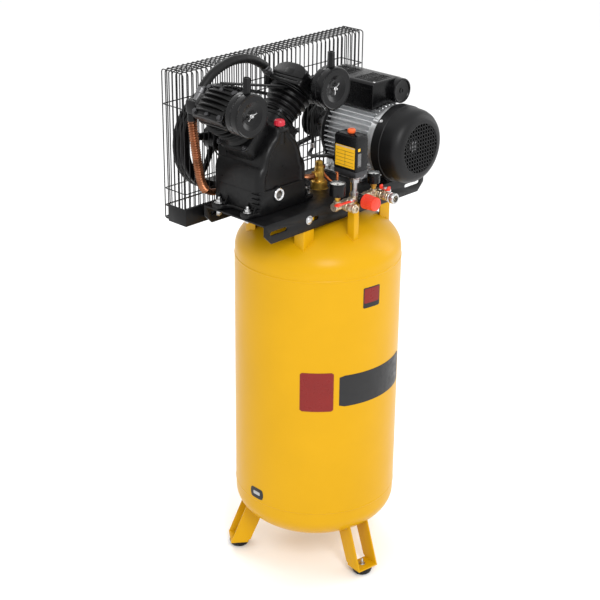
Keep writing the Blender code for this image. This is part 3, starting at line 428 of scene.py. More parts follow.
# name, slot, colour, roughness, metallic, tone, patch, grain, depth, strength
YELLOW = finish("yellow_coat", "yellow_paint", (0.61, 0.325, 0.003), 0.32, 0, 0.03, 5, 260, 0.3, 0.08,
    uneven=0.03, specular=0.16)
BLACK_COAT = finish("black_powder_coat", "black_paint", (0.004, 0.004, 0.0044), 0.4, 0, 0.25, 30, 1300, 0.12,
    0.5, dust=0.012, specular=0.22)
CASTING = finish("black_casting_paint", "black_casting", (0.0028, 0.0028, 0.0031), 0.36, 0, 0.3, 40, 700, 0.3,
    0.4, dust=0.008, specular=0.24)
PLASTIC = finish("black_moulding", "black_plastic", (0.003, 0.003, 0.0034), 0.24, 0, 0.2, 25, 1800, 0.1, 0.35,
    uneven=0.06, dust=0.008, specular=0.25)
GLOSS_PLASTIC = finish("black_gloss_cover", "black_plastic", (0.0045, 0.0045, 0.005), 0.27, 0, 0.2, 16, 1500,
    0.06, 0.3, uneven=0.05, dust=0.006, specular=0.25)
ALUMINIUM = finish("cast_aluminium", None, (0.5, 0.51, 0.52), 0.36, 1, 0.14, 22, 500, 0.3, 0.35, uneven=0.1,
    stretch=(1, 0.25, 1))
STEEL = finish("turned_steel", None, (0.45, 0.45, 0.46), 0.32, 1, 0.12, 60, 900, 0.08, 0.4, stretch=(1, 4, 1))
DULL_STEEL = finish("dull_steel", None, (0.17, 0.17, 0.175), 0.42, 0.9, 0.15, 60, 900, 0.08, 0.4)
ZINC = finish("zinc_plate", "steel", (0.58, 0.58, 0.58), 0.3, 1, 0.15, 120, 1200, 0.06, 0.3)
CHROME = finish("bright_plate", "chrome", (0.78, 0.78, 0.79), 0.12, 1, 0.05, 80, 900, 0.03, 0.2, uneven=0.05)
BRASS = finish("machined_brass", "brass", (0.6, 0.36, 0.065), 0.4, 0.9, 0.12, 90, 1100, 0.03, 0.2)
NICKEL = finish("plated_brass", "brass", (0.52, 0.44, 0.33), 0.34, 0.95, 0.12, 90, 1100, 0.03, 0.2)
COPPER = finish("drawn_copper", "copper", (0.3, 0.12, 0.058), 0.34, 0.95, 0.4, 45, 900, 0.1, 0.4)
RED_COPPER = finish("bright_copper", "copper", (0.72, 0.22, 0.08), 0.28, 1, 0.2, 70, 900, 0.1, 0.3)
RUBBER = finish("black_rubber", "rubber", (0.006, 0.006, 0.006), 0.5, 0, 0.3, 45, 1100, 0.2, 0.5, dust=0.015,
    specular=0.25)
BELT = finish("belt_rubber", "rubber", (0.008, 0.008, 0.008), 0.66, 0, 0.3, 70, 1500, 0.2, 0.6, dust=0.02,
    specular=0.25)
RED = finish("red_moulding", "red_plastic", (0.78, 0.045, 0.018), 0.34, 0, 0.1, 60, 1500, 0.08, 0.35)
CRIMSON = finish("crimson_moulding", "red_plastic", (0.5, 0.012, 0.03), 0.32, 0, 0.1, 60, 1500, 0.08, 0.35)
ORANGE = finish("orange_moulding", "red_plastic", (0.9, 0.13, 0.02), 0.36, 0, 0.08, 60, 1500, 0.08, 0.35)
WIRE = finish("coated_wire", "black_paint", (0.008, 0.008, 0.009), 0.38, 0, 0.25, 60, 1500, 0.08, 0.3,
    specular=0.3)
IRON = finish("bare_iron", "steel", (0.055, 0.055, 0.058), 0.42, 0.7, 0.2, 50, 900, 0.1, 0.4)
DIAL = finish("dial_white", None, (0.85, 0.85, 0.83), 0.45, 0, 0.02, 60, 1200, 0.02, 0.2)
INK = finish("dial_ink", "black_plastic", (0.02, 0.02, 0.022), 0.5, 0, 0.1, 60, 1200, 0.02, 0.2)
BRIGHT_ALUMINIUM = finish("finned_aluminium", "aluminium", (0.74, 0.75, 0.76), 0.38, 0.85, 0.1, 22, 500, 0.2,
    0.3, uneven=0.08, stretch=(1, 0.25, 1))
SMOOTH_PLASTIC = finish("smooth_black_cover", "black_plastic", (0.0055, 0.0055, 0.006), 0.42, 0, 0.12, 8,
    1700, 0.04, 0.25, uneven=0.03, specular=0.25)
OIL = finish("sight_glass_oil", None, (0.028, 0.024, 0.018), 0.12, 0, 0.2, 90, 700, 0.02, 0.2, uneven=0.04,
    coat=0.5)
LABEL_YELLOW = finish("label_yellow", None, (0.85, 0.46, 0.012), 0.38, 0, 0.03, 30, 800, 0.03, 0.2)
LABEL_RED = finish("label_red", None, (0.2, 0.01, 0.008), 0.32, 0, 0.06, 30, 800, 0.03, 0.2, specular=0.3)
LABEL_DARK = finish("label_dark", None, (0.02, 0.02, 0.021), 0.4, 0, 0.08, 30, 800, 0.03, 0.2, specular=0.25)
LABEL_GREY = finish("label_grey", None, (0.4, 0.4, 0.4), 0.36, 0, 0.05, 30, 800, 0.03, 0.2)
GLASS = finish("gauge_glass", None, (0.9, 0.93, 0.94), 0.04, 0, 0.02, 60, 400, 0.01, 0.1, uneven=0.01,
    alpha=0.1)


# ---------------------------------------------------------------- tank


TANK_LOW, TANK_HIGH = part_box("tank_barrel")
TANK_RADIUS = 0.2
SEAM_LOW, SEAM_HIGH = TANK_LOW.z, TANK_HIGH.z
HEADS = {  # rim height, depth, radius of the opening, height of the bung's end
    "top": (0.822, 0.1, 0.021, 0.934),
    "bottom": (0.17, -0.095, 0.015, 0.066),
}


def head_profile(end):
    """The pressed end's outer and inner lines, ellipse-shaped, with its threaded bung."""
    rim, depth, bung, tip = HEADS[end]
    wall = 0.003
    seam = SEAM_HIGH + 0.0003 if end == "top" else SEAM_LOW - 0.0003
    outer_radius = TANK_RADIUS - 0.0008

    def curve(radius, reach, last):
        angles = [acos(last / radius) * i / 24 for i in range(25)]
        return [(radius * cos(a), rim + reach * sin(a)) for a in angles]

    outer = curve(outer_radius, depth, bung + 0.002)
    inner = curve(outer_radius - wall, depth - copysign(wall, depth), bung - 0.007)
    step = copysign(0.002, depth)
    lip = [(bung + 0.0005, outer[-1][1] + step), (bung, outer[-1][1] + 2 * step), (bung, tip - step * 0.4),
        (bung - 0.0008, tip), (bung - 0.007, tip)]
    return [(outer_radius, seam)] + outer + lip + inner[::-1] + [(outer_radius - wall, seam)]


def wrapped(shape, start, end, low, high, radius, thick=0.0004, corner=0.004):
    """A thin label bent round the barrel, azimuths in degrees."""
    width, height = radians(end - start) * radius, high - low
    outline = rounded(rectangle(-width / 2, -height / 2, width / 2, height / 2), corner, 4)
    middle = radians((start + end) / 2)
    rows = 16
    points, faces = [], []
    for level in (radius, radius + thick):
        for row in range(rows + 1):
            u = (-width / 2 + width * row / rows) * 0.9999
            inside = []
            for a, b in zip(outline, outline[1:] + outline[:1]):
                if (a[0] - u) * (b[0] - u) <= 0 and a[0] != b[0]:
                    inside.append(a[1] + (b[1] - a[1]) * (u - a[0]) / (b[0] - a[0]))
            low_v, high_v = min(inside), max(inside)
            angle = middle + u / radius
            for v in (low_v, high_v):
                points.append((level * cos(angle), level * sin(angle), (low + high) / 2 + v))
    count = 2 * (rows + 1)
    for row in range(rows):
        i = 2 * row
        faces += [(i, i + 1, i + 3, i + 2), (count + i, count + i + 2, count + i + 3, count + i + 1),
            (i, i + 2, count + i + 2, count + i), (i + 1, count + i + 1, count + i + 3, i + 3)]
    faces += [(0, count, count + 1, 1), (count - 2, count - 1, 2 * count - 1, 2 * count - 2)]
    return shape.add(points, faces)


def tank():
    inner = TANK_RADIUS - 0.003
    barrel = Shape()
    barrel.lathe([(inner, SEAM_LOW), (TANK_RADIUS - 0.0006, SEAM_LOW), (TANK_RADIUS, SEAM_LOW + 0.0008),
        (TANK_RADIUS, (SEAM_LOW + SEAM_HIGH) / 2), (TANK_RADIUS, SEAM_HIGH - 0.0008),
        (TANK_RADIUS - 0.0006, SEAM_HIGH), (inner, SEAM_HIGH)], sides=160)
    for seam in (SEAM_LOW - 0.0004, SEAM_HIGH + 0.0004):
        bead = [(TANK_RADIUS - 0.0016 + 0.0022 * cos(a), seam + 0.0034 * sin(a)) for a in turns(10)]
        barrel.lathe(bead, sides=160, wave=ripple(0.00012, 190))
    weld = []
    azimuth = radians(68)
    outward, across = flat_way(azimuth), Vector((-sin(azimuth), cos(azimuth), 0))
    for i in range(240):
        z = SEAM_LOW + 0.002 + (SEAM_HIGH - SEAM_LOW - 0.004) * i / 239
        swell = 0.0011 + 0.00025 * sin(i * 2.2)
        weld.append([outward * (TANK_RADIUS - 0.0006 + swell * sin(a)) + across * 0.0038 * cos(a) + Z * z
            for a in turns(10)])
    barrel.loft(weld)
    piece("tank_barrel_skin", barrel, YELLOW, "tank_barrel")

    top = Shape().lathe(head_profile("top"), sides=128)
    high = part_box("tank_top_head")[1]
    post = (-0.036, -0.142)
    top.box((post[0] - 0.008, post[1] - 0.0105, 0.884), (post[0] + 0.008, post[1] + 0.0105, high.z), 0.0014)
    rim, depth = HEADS["top"][:2]
    for side in (-1, 1):  # the weld along the post's foot
        path = []
        for t in (-1, -0.5, 0, 0.5, 1):
            u, v = post[0] + side * 0.0085, post[1] + t * 0.0105
            path.append((u, v, rim + depth * sqrt(1 - (u**2 + v**2) / TANK_RADIUS**2)))
        top.sweep(path, lambda t: 0.0019 + 0.0003 * sin(t * 40), 8)
    piece("tank_top_head_skin", top, YELLOW, "tank_top_head")
    bottom = Shape().lathe(head_profile("bottom"), sides=128)
    piece("tank_bottom_head_skin", bottom, YELLOW, "tank_bottom_head")

    skin = TANK_RADIUS + 0.0002
    labels = (("badge_plate", 171.5, 184, 0.2005, 0.229, 0, 0.0005, 0.01, LABEL_DARK), ("badge_inlay", 174.5,
        181, 0.2105, 0.2195, 0.0005, 0.0002, 0.002, LABEL_GREY), ("rating_label_edge", -104.9, -91.0, 0.7285,
        0.7795, 0, 0.0003, 0.002, LABEL_DARK), ("rating_label_panel", -104.2, -91.7, 0.7405, 0.777, 0.0003,
        0.0002, 0.0015, LABEL_RED), ("tank_band_mark", -148.0, -125.0, 0.474, 0.575, 0, 0.0004, 0.004,
        LABEL_RED), ("tank_band", -121.0, -58.0, 0.484, 0.565, 0, 0.0004, 0.004, LABEL_DARK))
    for name, start, end, low, high, lift, thick, corner, colour in labels:
        piece(name, wrapped(Shape(), start, end, low, high, skin + lift, thick, corner), colour)


def feet():
    for name in ("front", "left", "right"):
        eased_node("leg_" + name, YELLOW, 0.0009)
        centre = middle_of("foot_pad_" + name)
        pad = Shape().lathe(mm(0, 0, 18.5, 0, 22.5, 3, 24.5, 9, 24.5, 16, 23.2, 17.5, 0, 17.5), centre, Z, 48,
            0.0015)
        for angle in turns(24):  # ridges down the side
            out = flat_way(angle)
            start, end = centre + out * 0.0243 + Z * 0.0085, centre + out * 0.0243 + Z * 0.015
            pad.sweep([start, (start + end) / 2, end], 0.0007, 6)
        piece("foot_rubber_" + name, pad, RUBBER, "foot_pad_" + name)
        stud = Shape().bolt(centre + Z * 0.0216, Z, 0.01, 0.006, thread=0.0085)
        stud.rod(0.0042, 0.017, 0.0225, centre, Z, 16)
        piece("foot_stud_" + name, stud, ZINC)

    drain = Shape().nut((0, 0, 0), Z, 0.0185, 0.036, 0.0655)
    drain.rod(0.008, 0.063, 0.0795, sides=24, soft=0.0006)
    drain.lathe(mm(3.5, 0, 6, 0, 6, 25.5, 4.8, 26.2, 3.5, 26.2), (0, 0, 0.05), -Y, 24)
    for i in range(4):
        drain.lathe([(0.005, 0.014 + 0.0028 * i), (0.0066, 0.0145 + 0.0028 * i),
            (0.005, 0.0165 + 0.0028 * i)], (0, 0, 0.05), -Y, 24)
    piece("drain_valve_body", drain, BRASS, "drain_valve")
    handle = Shape().lathe(mm(0, 20, 9.2, 20, 9.8, 21.5, 9.8, 27, 8.5, 28.5, 4, 30, 4, 35.3, 0, 35.3),
        sides=40, soft=0.0006, wave=ripple(0.0003, 20, 0, 0.0284))
    wing = rounded(mm(-18, 21.5, -8, 22.5, 8, 22.5, 18, 21.5, 18, 27.5, 8, 26.5, -8, 26.5, -18, 27.5), 0.003,
        4)
    handle.prism(wing, (0, 0, 0), X, Z, -0.0017, 0.0017, 0.0006)
    piece("drain_handle_wing", handle, BRASS, "drain_handle", body="drain_handle")


# ---------------------------------------------------------------- deck


def deck():
    for end in ("front_left", "front_right", "back_left", "back_right"):
        eased_node("deck_bracket_" + end, YELLOW, 0.0008)
    eased_node("deck_plate", BLACK_COAT, 0.0009)
    eased_node("guard_bracket", BLACK_COAT, 0.0006)
    low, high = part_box("deck_plate")
    bolt_z = 0.944
    bolts = Shape()
    for x in (-0.136, 0.136):
        for y, way in ((low.y, -Y), (high.y, Y)):
            bolts.rod(0.0105, -0.0002, 0.0012, (x, y, bolt_z), way, 28, 0.0004)
            bolts.lathe(mm(0, 1, 8.2, 1, 8, 2.5, 6, 4.5, 3, 5.2, 0, 5.3), (x, y, bolt_z), way, 28)
            inner = Vector((x, y, bolt_z)) - way * 0.0085
            bolts.bolt(inner, -way, 0.01, 0.005, thread=0.003)
            bolts.rod(0.003, 0, 0.0087, (x, y, bolt_z), -way, 16)
    piece("deck_bolts", bolts, ZINC)
    crank = JOINTS["crank_spin"]["pos_m"]
    motor = JOINTS["rotor_spin"]["pos_m"]
    feet_bolts = Shape()
    for x, ys, top in ((crank[0], (-0.03, 0.062), high.z + 0.0123),
            (motor[0], (-0.03, 0.06), high.z + 0.0093)):
        reach = 0.094 if x < 0 else 0.064
        for side in (-1, 1):
            for y in ys:
                spot = Vector((x + side * reach, y, top))
                feet_bolts.bolt(spot, Z, 0.0125, 0.0065, thread=0.006)
                feet_bolts.rod(0.0038, 0, top - high.z + 0.001, spot + Z * 0.0005, -Z, 16)
                feet_bolts.bolt((spot.x, spot.y, high.z - 0.0042), -Z, 0.0125, 0.006, thread=0.002)
    piece("mounting_bolts", feet_bolts, ZINC)
    ties = Shape()
    for x in (-0.235, 0.225):
        ties.bolt((x, high.y + 0.0044, 0.938), Y, 0.01, 0.0045)
        ties.bolt((x, high.y - 0.0042, 0.938), -Y, 0.01, 0.0045)
    piece("guard_screws", ties, ZINC)


# ---------------------------------------------------------------- pump

CRANK = Vector(JOINTS["crank_spin"]["pos_m"])
SIDES = ("left", "right")
ALONG = {side: Vector(JOINTS[f"piston_{side}_slide"]["axis"]).normalized() for side in SIDES}
HEAD_Y = {side: sum(v.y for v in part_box("cylinder_" + side)) / 2 for side in SIDES}
HEAD_TOP = 0.212


def bore_frame(side):
    """The cylinder's foot on the crank's axis, and the directions across it, along Y, and out."""
    along = ALONG[side]
    return Vector((CRANK.x, HEAD_Y[side], CRANK.z)), Y.cross(along), Y, along


CASE_FRONT, CASE_BACK = -0.05, 0.093
GLASS_SEAT = Vector((-0.188, CASE_FRONT, 1.007))
FILLER_NECK = Vector((CRANK.x, -0.036, 0))


def pump_case():
    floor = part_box("crankcase")[0].z
    front, back, half = CASE_FRONT, CASE_BACK, 0.0775
    middle = Vector((CRANK.x, 0, 0))

    def arch(pull):
        """The case's round-shouldered outline, moved in by the given amount."""
        neck, top = 0.02 - pull * 0.3, 1.16 - pull * 0.6
        shoulder = arc((half - 0.04, 1.048), 0.04 - pull * 0.9, 0, 50, 7)
        start = (shoulder[-1][0] - 0.0004, shoulder[-1][1] + 0.0004)
        neck_foot = (neck + 0.004, top - 0.018)
        slope = [(start[0] + (neck_foot[0] - start[0]) * t + 0.026 * t * (1 - t),
            start[1] + (neck_foot[1] - start[1]) * t + 0.016 * t * (1 - t))
            for t in (0.2, 0.4, 0.6, 0.8, 1.0)]
        right = [(half - pull * 0.9, floor)] + shoulder + slope + near(neck, top, 1.5, -12, 0, -4, -4, 0)
        return right + [(-x, z) for x, z in reversed(right)]

    case = Shape()
    levels = near(back, 0, 0, 4, -1.2, 1.2, -4, 0)
    levels += [(front + 0.016 * (1 - sin(a)), 0.016 * (1 - cos(a)))
        for a in [pi / 2 * i / 7 for i in range(8)]]
    levels += near(front, 0, 0, 20, 1.2, 22.2, 3, 24.5, 3.4, 30)
    case.loft([[middle + X * x + Y * y + Z * z for x, z in arch(pull)] for y, pull in levels])
    sump = rounded(rectangle(CRANK.x - half - 0.0006, front - 0.001, CRANK.x + half + 0.0006, back - 0.002),
        0.014, 6)
    case.prism(sump, (0, 0, 0), X, Y, floor, 1.022, 0.0022, 3)
    for i in range(4):  # short ribs down the front corners
        z = floor + 0.014 + i * 0.0115
        for side in (-1, 1):
            x = CRANK.x + side * half
            case.box((x - 0.0045, front - 0.0022, z), (x + 0.0045, front + 0.022, z + 0.0042), 0.0016)
    foot = rounded(mm(-107, -45, -80, -45, -72, -49, 72, -49, 80, -45, 107, -45, 107, -15, 82, -8, 82, 40,
        107, 47, 107, 78, -107, 78, -107, 47, -82, 40, -82, -8, -107, -15), 0.01, 5)
    case.prism(foot, (CRANK.x, 0, 0), X, Y, floor, floor + 0.0105, 0.0025, 3)
    for x in (-0.094, 0.094):
        for y in (-0.03, 0.062):
            case.lathe(near(0, floor, 0, 0, 14, 0, 11.8, 12.2, 0, 12.2), (CRANK.x + x, y, 0), Z, 28, 0.001)
            web = near(0, floor, 70, 4, 92, 4, 90, 12, 77.5, 30, 70, 32)
            web = [(copysign(u, x), v) for u, v in (web if x > 0 else web[::-1])]
            for side in (-0.0125, 0.0125):
                case.prism(web, (CRANK.x, 0, 0), X, Z, -y - side - 0.0016, -y - side + 0.0016, 0.0008)
    for side in SIDES:  # the bolting faces the cylinders stand on
        foot_point, _, _, along = bore_frame(side)
        case.rod(0.046, 0.04, 0.0777, foot_point, along, 64, 0.002, wave=squared(0.0455))
    case.lathe(mm(0, 80, 38, 80, 36, 98, 32, 104, 18.5, 104, 18.5, 99, 0, 99), (CRANK.x, 0, CRANK.z), Y, 48,
        0.0015)
    case.lathe(mm(0, 70, 64, 70, 64, 95.5, 60, 97.5, 0, 97.5), (CRANK.x, 0, CRANK.z), Y, 56, 0.0015)
    case.lathe(mm(0, -6, 19, -6, 17.8, 1.8, 0, 1.8), GLASS_SEAT, -Y, 32, 0.0008)
    case.lathe(mm(0, 1120, 13.5, 1120, 12.5, 1155, 10.8, 1159.8, 0, 1159.8), FILLER_NECK, Z, 32, 0.001)
    bores = Shape()
    for side in SIDES:
        foot_point, _, _, along = bore_frame(side)
        bores.rod(0.035, 0.034, 0.095, foot_point, along, 64)
    piece("crankcase_casting", case, CASTING, "crankcase", cutter=bores, angle=40)


def pump_fittings():
    """The bolts, the sight glass and the filler cap."""
    bolts = Shape()
    for i in range(6):
        angle = tau * (i + 0.5) / 6
        bolts.bolt((CRANK.x + 0.052 * cos(angle), CASE_BACK + 0.0042, CRANK.z + 0.052 * sin(angle)), Y, 0.008,
            0.0042)
    for side in SIDES:
        foot_point, across, _, along = bore_frame(side)
        for u in (-0.0395, 0.0395):
            for v in (-0.0395, 0.0395):
                bolts.bolt(foot_point + across * u + Y * v + along * 0.0857, along, 0.0085, 0.005,
                    thread=0.003)
    piece("crankcase_bolts", bolts, IRON)
    ring = Shape().lathe(mm(9.5, 1.5, 15.2, 1.5, 15.6, 3, 15, 5, 13.2, 6.2, 10.6, 6, 9.5, 4), GLASS_SEAT, -Y,
        48, 0.0004)
    piece("sight_glass_ring", ring, CHROME, "sight_glass")
    eye = Shape().lathe(mm(0, 0.5, 9.7, 0.5, 9.7, 2.8, 6, 3.4, 0, 3.6), GLASS_SEAT, -Y, 32)
    piece("sight_glass_window", eye, OIL)
    cap = Shape().lathe(mm(0, 1160.5, 11.8, 1160.5, 12.2, 1162.5, 12, 1169, 10.6, 1172.5, 6, 1173.5, 5.5,
        1172.2, 0, 1172.2), FILLER_NECK, Z, 72, 0.0006, wave=ripple(0.00035, 18, 1.162, 1.17))
    piece("oil_cap_moulding", cap, CRIMSON, "oil_filler_cap")


def cylinders():
    """Square-footed barrels whose few deep fins get wider towards the head."""
    for side in SIDES:
        origin, _, _, along = bore_frame(side)
        barrel = Shape()
        profile = mm(33.6, 62.5, 35.8, 62.5, 35.8, 90, 43, 90, 38.5, 96)
        for low in (0.0985, 0.103):
            profile += near(0, low, 37.8, -1.2, 39.2, 0, 39.2, 1.2, 37.8, 2.4)
        for distance, radius in ((0.112, 0.0425), (0.124, 0.0455), (0.1375, 0.0485), (0.1515, 0.0508)):
            profile += [(0.0376, distance - 0.0046), (0.039, distance - 0.003),
                *near(radius, distance, -1, -1.4, 0, -0.6, 0, 0.6, -1, 1.4), (0.039, distance + 0.003),
                (0.0376, distance + 0.0046)]
        profile += mm(44, 157.5, 44, 159.7, 33.6, 159.7)
        barrel.lathe(profile, origin, along, 80)
        barrel.lathe(mm(35.2, 78.3, 46, 78.3, 46, 85, 44, 86.2, 35.2, 88), origin, along, 80,
            wave=lambda a, h: squared(0.0455)(a, h) if h < 0.0875 else 0)
        piece("cylinder_barrel_" + side, barrel, CASTING, "cylinder_" + side, angle=38)


def heads():
    for side in SIDES:
        origin, across, _, along = bore_frame(side)
        u_axis = across if across.cross(Y).dot(along) > 0 else -across
        half_u, half_v = 0.041, 0.0485
        head = Shape()
        plan = rounded(rectangle(-half_u, -half_v, half_u, half_v), 0.012, 6)
        head.prism(plan, origin, u_axis, Y, 0.1604, 0.1685, 0.0016)
        head.prism(inset(plan, 0.0015), origin, u_axis, Y, 0.1697, 0.178, 0.0016)
        head.prism(inset(plan, 0.004), origin, u_axis, Y, 0.168, 0.197, 0.003, 3)
        count = 7
        for i in range(count):
            share = 2 * i / (count - 1) - 1
            tall = HEAD_TOP - 0.0006 - (0.011 * share * share if side == "left" else 0)
            end = i in (0, count - 1)
            reach = half_v - (0.0015 if end else 0.003)
            outline = [(-reach, 0.178), (reach, 0.178)]
            outline += [(reach * cos(a) ** 0.8, 0.186 + (tall - 0.186) * sin(a) ** 0.9)
                for a in [pi / 2 * k / 10 for k in range(10)]]
            outline += [(0, tall)] + [(-v, w) for v, w in reversed(outline[2:])]
            thick = 0.0028 if end else 0.002
            head.prism(outline, origin + u_axis * (half_u - 0.0028) * share, Y, along, -thick, thick, 0.0009)
        for sign in (-1, 1):  # a shallow boss in the middle of each arched side
            boss = rounded(rectangle(-0.013, 0.181, 0.013, 0.197), 0.006, 5)
            spot = origin + u_axis * (half_u - 0.001) * sign
            head.prism(boss, spot, Y, along, -0.0013, 0.0013, 0.0008)
        bolts = Shape()
        for u in (-1, 1):
            for v in (-1, 0, 1):
                spot = origin + u_axis * u * 0.0315 + Y * v * 0.0385
                head.lathe(mm(0, 168, 8, 168, 7.2, 195.5, 0, 195.5), spot, along, 20, 0.001)
                bolts.bolt(spot + along * 0.1954, along, 0.01, 0.0058)
        depth = 0.0065 if side == "left" else 0.0175
        neck = rounded(rectangle(-0.0165, 0.168, 0.0165, 0.196), 0.008, 5)
        turned = u_axis.cross(along).dot(Y)
        ends = sorted((turned * (half_v - 0.012), turned * (half_v + depth)))
        head.prism(neck, origin, u_axis, along, *ends, 0.001)
        head.box(*ELBOWS[side], 0.0065, 0.01)
        piece("head_casting_" + side, head, CASTING, "cylinder_head_" + side, angle=38)
        piece("head_bolts_" + side, bolts, IRON)


ELBOWS = {"left": ((-0.3165, 0.0775, 1.1855), (-0.2885, 0.115, 1.219)),
    "right": ((-0.078, 0.089, 1.203), (-0.046, 0.1075, 1.235))}
HOSE_ENDS = {"left": (Vector((-0.302, 0.092, 1.2155)), Vector((-0.281, 0.092, 1.2405))),
    "right": (Vector((-0.062, 0.098, 1.226)), Vector((-0.079, 0.098, 1.2465)))}


def intercooler():
    nuts = Shape()
    ends = {}
    for side, (tail, tip) in HOSE_ENDS.items():
        way = (tip - tail).normalized()
        length = (tip - tail).length
        nuts.nut(tail, way, 0.0195, length - 0.014, length - 0.001)
        nuts.rod(0.008, 0, length - 0.013, tail, way, 24)
        nuts.lathe(near(0, length, 0, -2, 9.8, -2, 10.5, 0.5, 10.5, 6.5, 9.8, 7.5, 0, 7.5), tail, way, 32,
            0.0005)
        ends[side] = [tip + way * 0.0006, tip + way * 0.012]
    piece("hose_nuts", nuts, DULL_STEEL)
    arch = mm(-245, 91, 1271, -193, 91, 1285.5, -137, 92, 1280.5, size=3)
    path = smooth(ends["left"] + arch + ends["right"][::-1], 0.004)
    hose = Shape().sweep(path, lambda t: 0.0105 + 0.00012 * sin(t * 260), 24)
    piece("intercooler_hose_skin", hose, RUBBER, "intercooler_hose")


def discharge_pipe():
    fitting = Vector((-0.303, 0.104, 0))
    union = Shape().nut(fitting, Z, 0.0195, 1.172, 1.186)
    union.lathe(mm(0, 1166, 9.6, 1166, 10.4, 1167.2, 10.4, 1173, 0, 1173), fitting, Z, 32)
    piece("discharge_union", union, CASTING)
    run = mm(-303, 104, 1170, -299, 104, 1135, -292.5, 105, 1095, -285, 106, 1055, -276.5, 108, 1022, -262,
        111, 997, -238, 111.5, 984, -205, 111.5, 982, -150, 111.5, 982, -85, 108, 990, -62, 80, 996, -56, 40,
        998, -48, 12, 998, -34, 0, 998, -21.5, 0, 998, size=3)
    path = smooth(run, 0.00085)
    finned = 0.36

    def reach(t):
        if t < finned:
            return 0.0094 + 0.0016 * sin(t * len(path) * tau / 7.0)
        return 0.0078 + 0.0018 * max(0.0, 1 - (t - finned) / 0.02)

    tube = Shape().sweep(path, reach, 20)
    piece("discharge_tube_skin", tube, COPPER, "discharge_tube")


def head_tie():
    start, end = Vector((-0.283, 0, 1.2655)), Vector((-0.092, 0, 1.222))
    way = (end - start).normalized()
    bar = rounded(rectangle(-0.006, -0.002, (end - start).length + 0.006, 0.002), 0.0015, 3)
    strap = Shape().prism(bar, start, way, Y.cross(way), 0.012, 0.028, 0.0006)
    piece("head_tie_bar", strap, BLACK_COAT)


def filters():
    for side in SIDES:
        low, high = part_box("air_filter_" + side)
        centre = Vector(((low.x + high.x) / 2, 0, low.z + 0.0485))
        front, back = low.y, high.y
        depth = back - front
        drum = Shape()
        drum.lathe([*mm(0, -8, 9.5, -8, 11.5, -6.2, 20, -5.2, 29, -1.6, 31, -0.8, 44, -1.2, 46.2, 0, 47.8, -1,
            48.5, -3, 48.5, -16.5, 47.8, -17.5, 47.2, -17.8, 47.2, -19.2, 48, -19.6, 48.3, -20.5, 48.3, -33,
            47, -35, 44, -36.5, 43, -38.5, 39, -44), (0.02, -depth + 0.003), (0.018, -depth), (0, -depth)],
            (centre.x, front, centre.z), -Y, 96, 0.0003)
        for i in range(8):  # clips round the joint line
            angle = tau * (i + 0.5) / 8
            out = face_way(angle)
            spot = centre + out * 0.0478
            spot.y = front + 0.0185
            side_way = Vector((-out.z, 0, out.x))
            drum.prism(rounded(rectangle(-0.004, -0.0045, 0.004, 0.0045), 0.001, 2), spot, side_way, Y,
                -0.0006, 0.0009, 0.0003)
        base, top = centre.z + 0.036, high.z
        ribs = 6

        def ribbed(radius):
            reaches = [(a, radius + 0.0011 * max(0, cos(a * ribs)) ** 3) for a in turns(48)]
            return [(reach * cos(a), reach * sin(a)) for a, reach in reaches]

        rings = []
        for z, radius in ((base, 0.0086), (base + 0.02, 0.0078), (top - 0.003, 0.0072),
                (top - 0.0008, 0.0072), (top, 0.0067)):
            rings.append([Vector((centre.x + u, -0.062 + v, z)) for u, v in ribbed(radius)])
        for z, radius in ((top, 0.0055), (top - 0.018, 0.005)):
            rings.append([Vector((centre.x + u, -0.062 + v, z)) for u, v in circle(radius, 48)])
        drum.loft(rings)
        piece("air_filter_housing_" + side, drum, PLASTIC, "air_filter_" + side)
        nut = Shape()
        hub = Vector((centre.x, front + 0.008, centre.z))
        nut.lathe(mm(0, 0, 5.5, 0, 4.8, 5, 4, 6.2, 0, 6.2), hub, -Y, 24, 0.0005)
        nut.lathe(mm(0, 5, 2.4, 5, 2.4, 10, 1.8, 10.6, 0, 10.6), hub, -Y, 16)
        tilt = radians(28 if side == "left" else 62)
        for sign in (-1, 1):
            out = face_way(tilt) * sign
            wing = rounded(mm(3, 1, 9, 3, 15, 6.5, 14.2, 10, 10, 9.8, 3, 6), 0.002, 3)
            nut.prism(wing, hub, out, -Y, -0.0009, 0.0009, 0.0004)
        piece("filter_wing_nut_" + side, nut, ZINC)


# ---------------------------------------------------------------- drive

BELT_Y = 0.168
WHEEL_RADIUS, PULLEY_RADIUS = 0.1225, 0.0425
MOTOR = Vector(JOINTS["rotor_spin"]["pos_m"])


